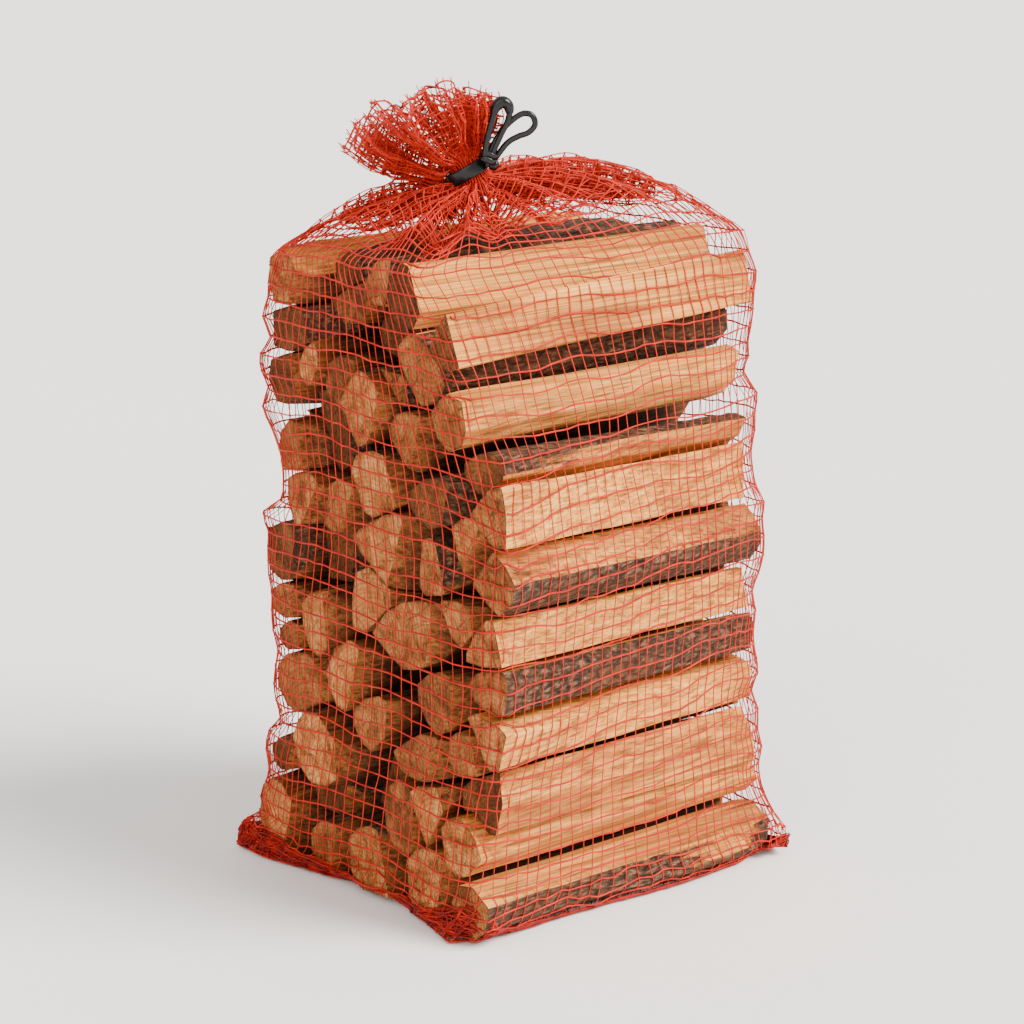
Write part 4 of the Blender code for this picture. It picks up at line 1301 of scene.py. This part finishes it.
def loop_cord(name, route, depth, bulb):
    """Round cord along a route in the neck's plane, thicker at the bulb when there is one."""
    points = np.array([on_neck_plane(across, up, depth)[:] for across, up in route])
    line = smooth_line(points, False, 5)
    share = np.linspace(-1.0, 1.0, len(line))
    line += np.outer(LOOP_SWING * share, np.array(DEPTH))
    width = np.ones(len(line))
    if bulb is not None:
        apart = np.linalg.norm(line - np.array(on_neck_plane(*bulb, depth)), axis=1) / MM
        width += (BULB_GROWTH - 1.0) * np.clip(1.35 - apart / BULB_REACH, 0.0, 1.0) ** 0.5
    return thread_piece(name, [line], False, CORD_RADIUS, 4, BLACK_TIE, [width])


def tie():
    """The black tie: a glossy band, a collar of two rolls with its knob, and two loops."""
    lean = (UP * 0.9 + ACROSS * 0.44).normalized()
    beside = lean.cross(DEPTH).normalized()
    collar = on_neck_plane(*COLLAR_PLACE, COLLAR_DEPTH)
    grow = TIE_GAP + TIE_THICKNESS / 2
    parts = [
        rounded_ring("tie", NECK, NECK_SIDE, DEPTH, NECK_AXIS,
                     (NECK_RADII[0] + grow, NECK_RADII[1] + grow), TIE_THICKNESS, TIE_WIDTH, 72),
        rounded_ring("roll_low", collar - lean * 1.3 * MM + DEPTH * 0.6 * MM, beside, DEPTH, lean,
                     (3.1 * MM, 2.9 * MM), 3.4 * MM, 3.3 * MM, 40),
        rounded_ring("roll_high", collar + lean * 1.7 * MM + DEPTH * 0.6 * MM, beside, DEPTH, lean,
                     (2.9 * MM, 2.7 * MM), 2.9 * MM, 2.7 * MM, 40),
    ]
    bpy.ops.mesh.primitive_uv_sphere_add(segments=24, ring_count=14, radius=1.0)
    knob = bpy.context.object
    knob.name = "knob"
    for vertex in knob.data.vertices:
        co = vertex.co.copy()
        vertex.co = (on_neck_plane(COLLAR_PLACE[0] + 2.6, COLLAR_PLACE[1] - 4.2, COLLAR_DEPTH + 1.6 * MM)
                     + beside * co.x * 2.6 * MM + DEPTH * co.y * 2.6 * MM + lean * co.z * 3.0 * MM)
    bpy.ops.object.shade_smooth()
    parts.append(knob)
    parts.append(loop_cord("short_loop", SHORT_LOOP, SHORT_DEPTH, SHORT_LOOP[4]))
    parts.append(loop_cord("long_loop", LONG_LOOP, LONG_DEPTH, None))
    for part in parts:
        part.data.materials.clear()
        part.data.materials.append(BLACK_TIE)
    bpy.ops.object.select_all(action="DESELECT")
    for part in parts:
        part.select_set(True)
    bpy.context.view_layer.objects.active = parts[0]
    bpy.ops.object.join()
    finish_piece(name_piece(bpy.context.object, "black_tie"), "tie")


# The stage.

FLOOR_LEVEL = -0.4 * MM    # just below the lowest thread
WARM_WHITE = (1.0, 0.985, 0.965, 1.0)
SUN_COLOUR = (1.0, 0.965, 0.92)
# Name, strength, how wide in degrees, and the way that it shines.
SUNS = (("key", 7.4, 32.0, (-0.38, 0.66, -0.65)), ("fill", 1.25, 50.0, (0.86, 0.42, -0.45)))


def stage():
    """A wide pale floor, a soft key light from the front right, and light from all round."""
    bpy.ops.mesh.primitive_plane_add(size=40.0, location=(0.0, 0.0, FLOOR_LEVEL))
    floor = bpy.context.object
    floor.name = "floor"
    finish = Finish("floor_paint")
    soft = finish.noise(finish.place(), 3.0, 2.0)
    finish.wire("Base Color", finish.ramp(soft, (0.3, (0.925, 0.905, 0.880)),
                                          (0.7, (0.94, 0.92, 0.895))))
    finish.set(Roughness=0.75, Specular_IOR_Level=0.2)
    floor.data.materials.append(finish.material)

    world = bpy.data.worlds.new("studio")
    world.use_nodes = True
    background = world.node_tree.nodes["Background"]
    background.inputs["Color"].default_value = WARM_WHITE
    background.inputs["Strength"].default_value = 1.1
    bpy.context.scene.world = world

    for name, energy, spread, way in SUNS:
        sun = bpy.data.lights.new(name, "SUN")
        sun.energy = energy
        sun.angle = math.radians(spread)
        sun.color = SUN_COLOUR
        lamp = bpy.data.objects.new(name, sun)
        lamp.rotation_euler = Vector(way).to_track_quat("-Z", "Y").to_euler()
        bpy.context.scene.collection.objects.link(lamp)


def photo_camera():
    """The camera, at the picture's viewing angle."""
    data = bpy.data.cameras.new("photo_camera")
    data.lens = CAMERA_LENS
    data.sensor_width = 36.0
    camera = bpy.data.objects.new("photo_camera", data)
    level = math.cos(CAMERA_PITCH)
    forward = Vector((math.cos(CAMERA_HEADING) * level, math.sin(CAMERA_HEADING) * level,
                      -math.sin(CAMERA_PITCH)))
    camera.location = CAMERA_PLACE
    camera.rotation_euler = forward.to_track_quat("-Z", "Y").to_euler()
    data.clip_end = 60.0
    bpy.context.scene.collection.objects.link(camera)
    bpy.context.scene.camera = camera


photo_camera()
stage()
net(all_sticks())
tie()
bpy.ops.object.select_all(action="DESELECT")
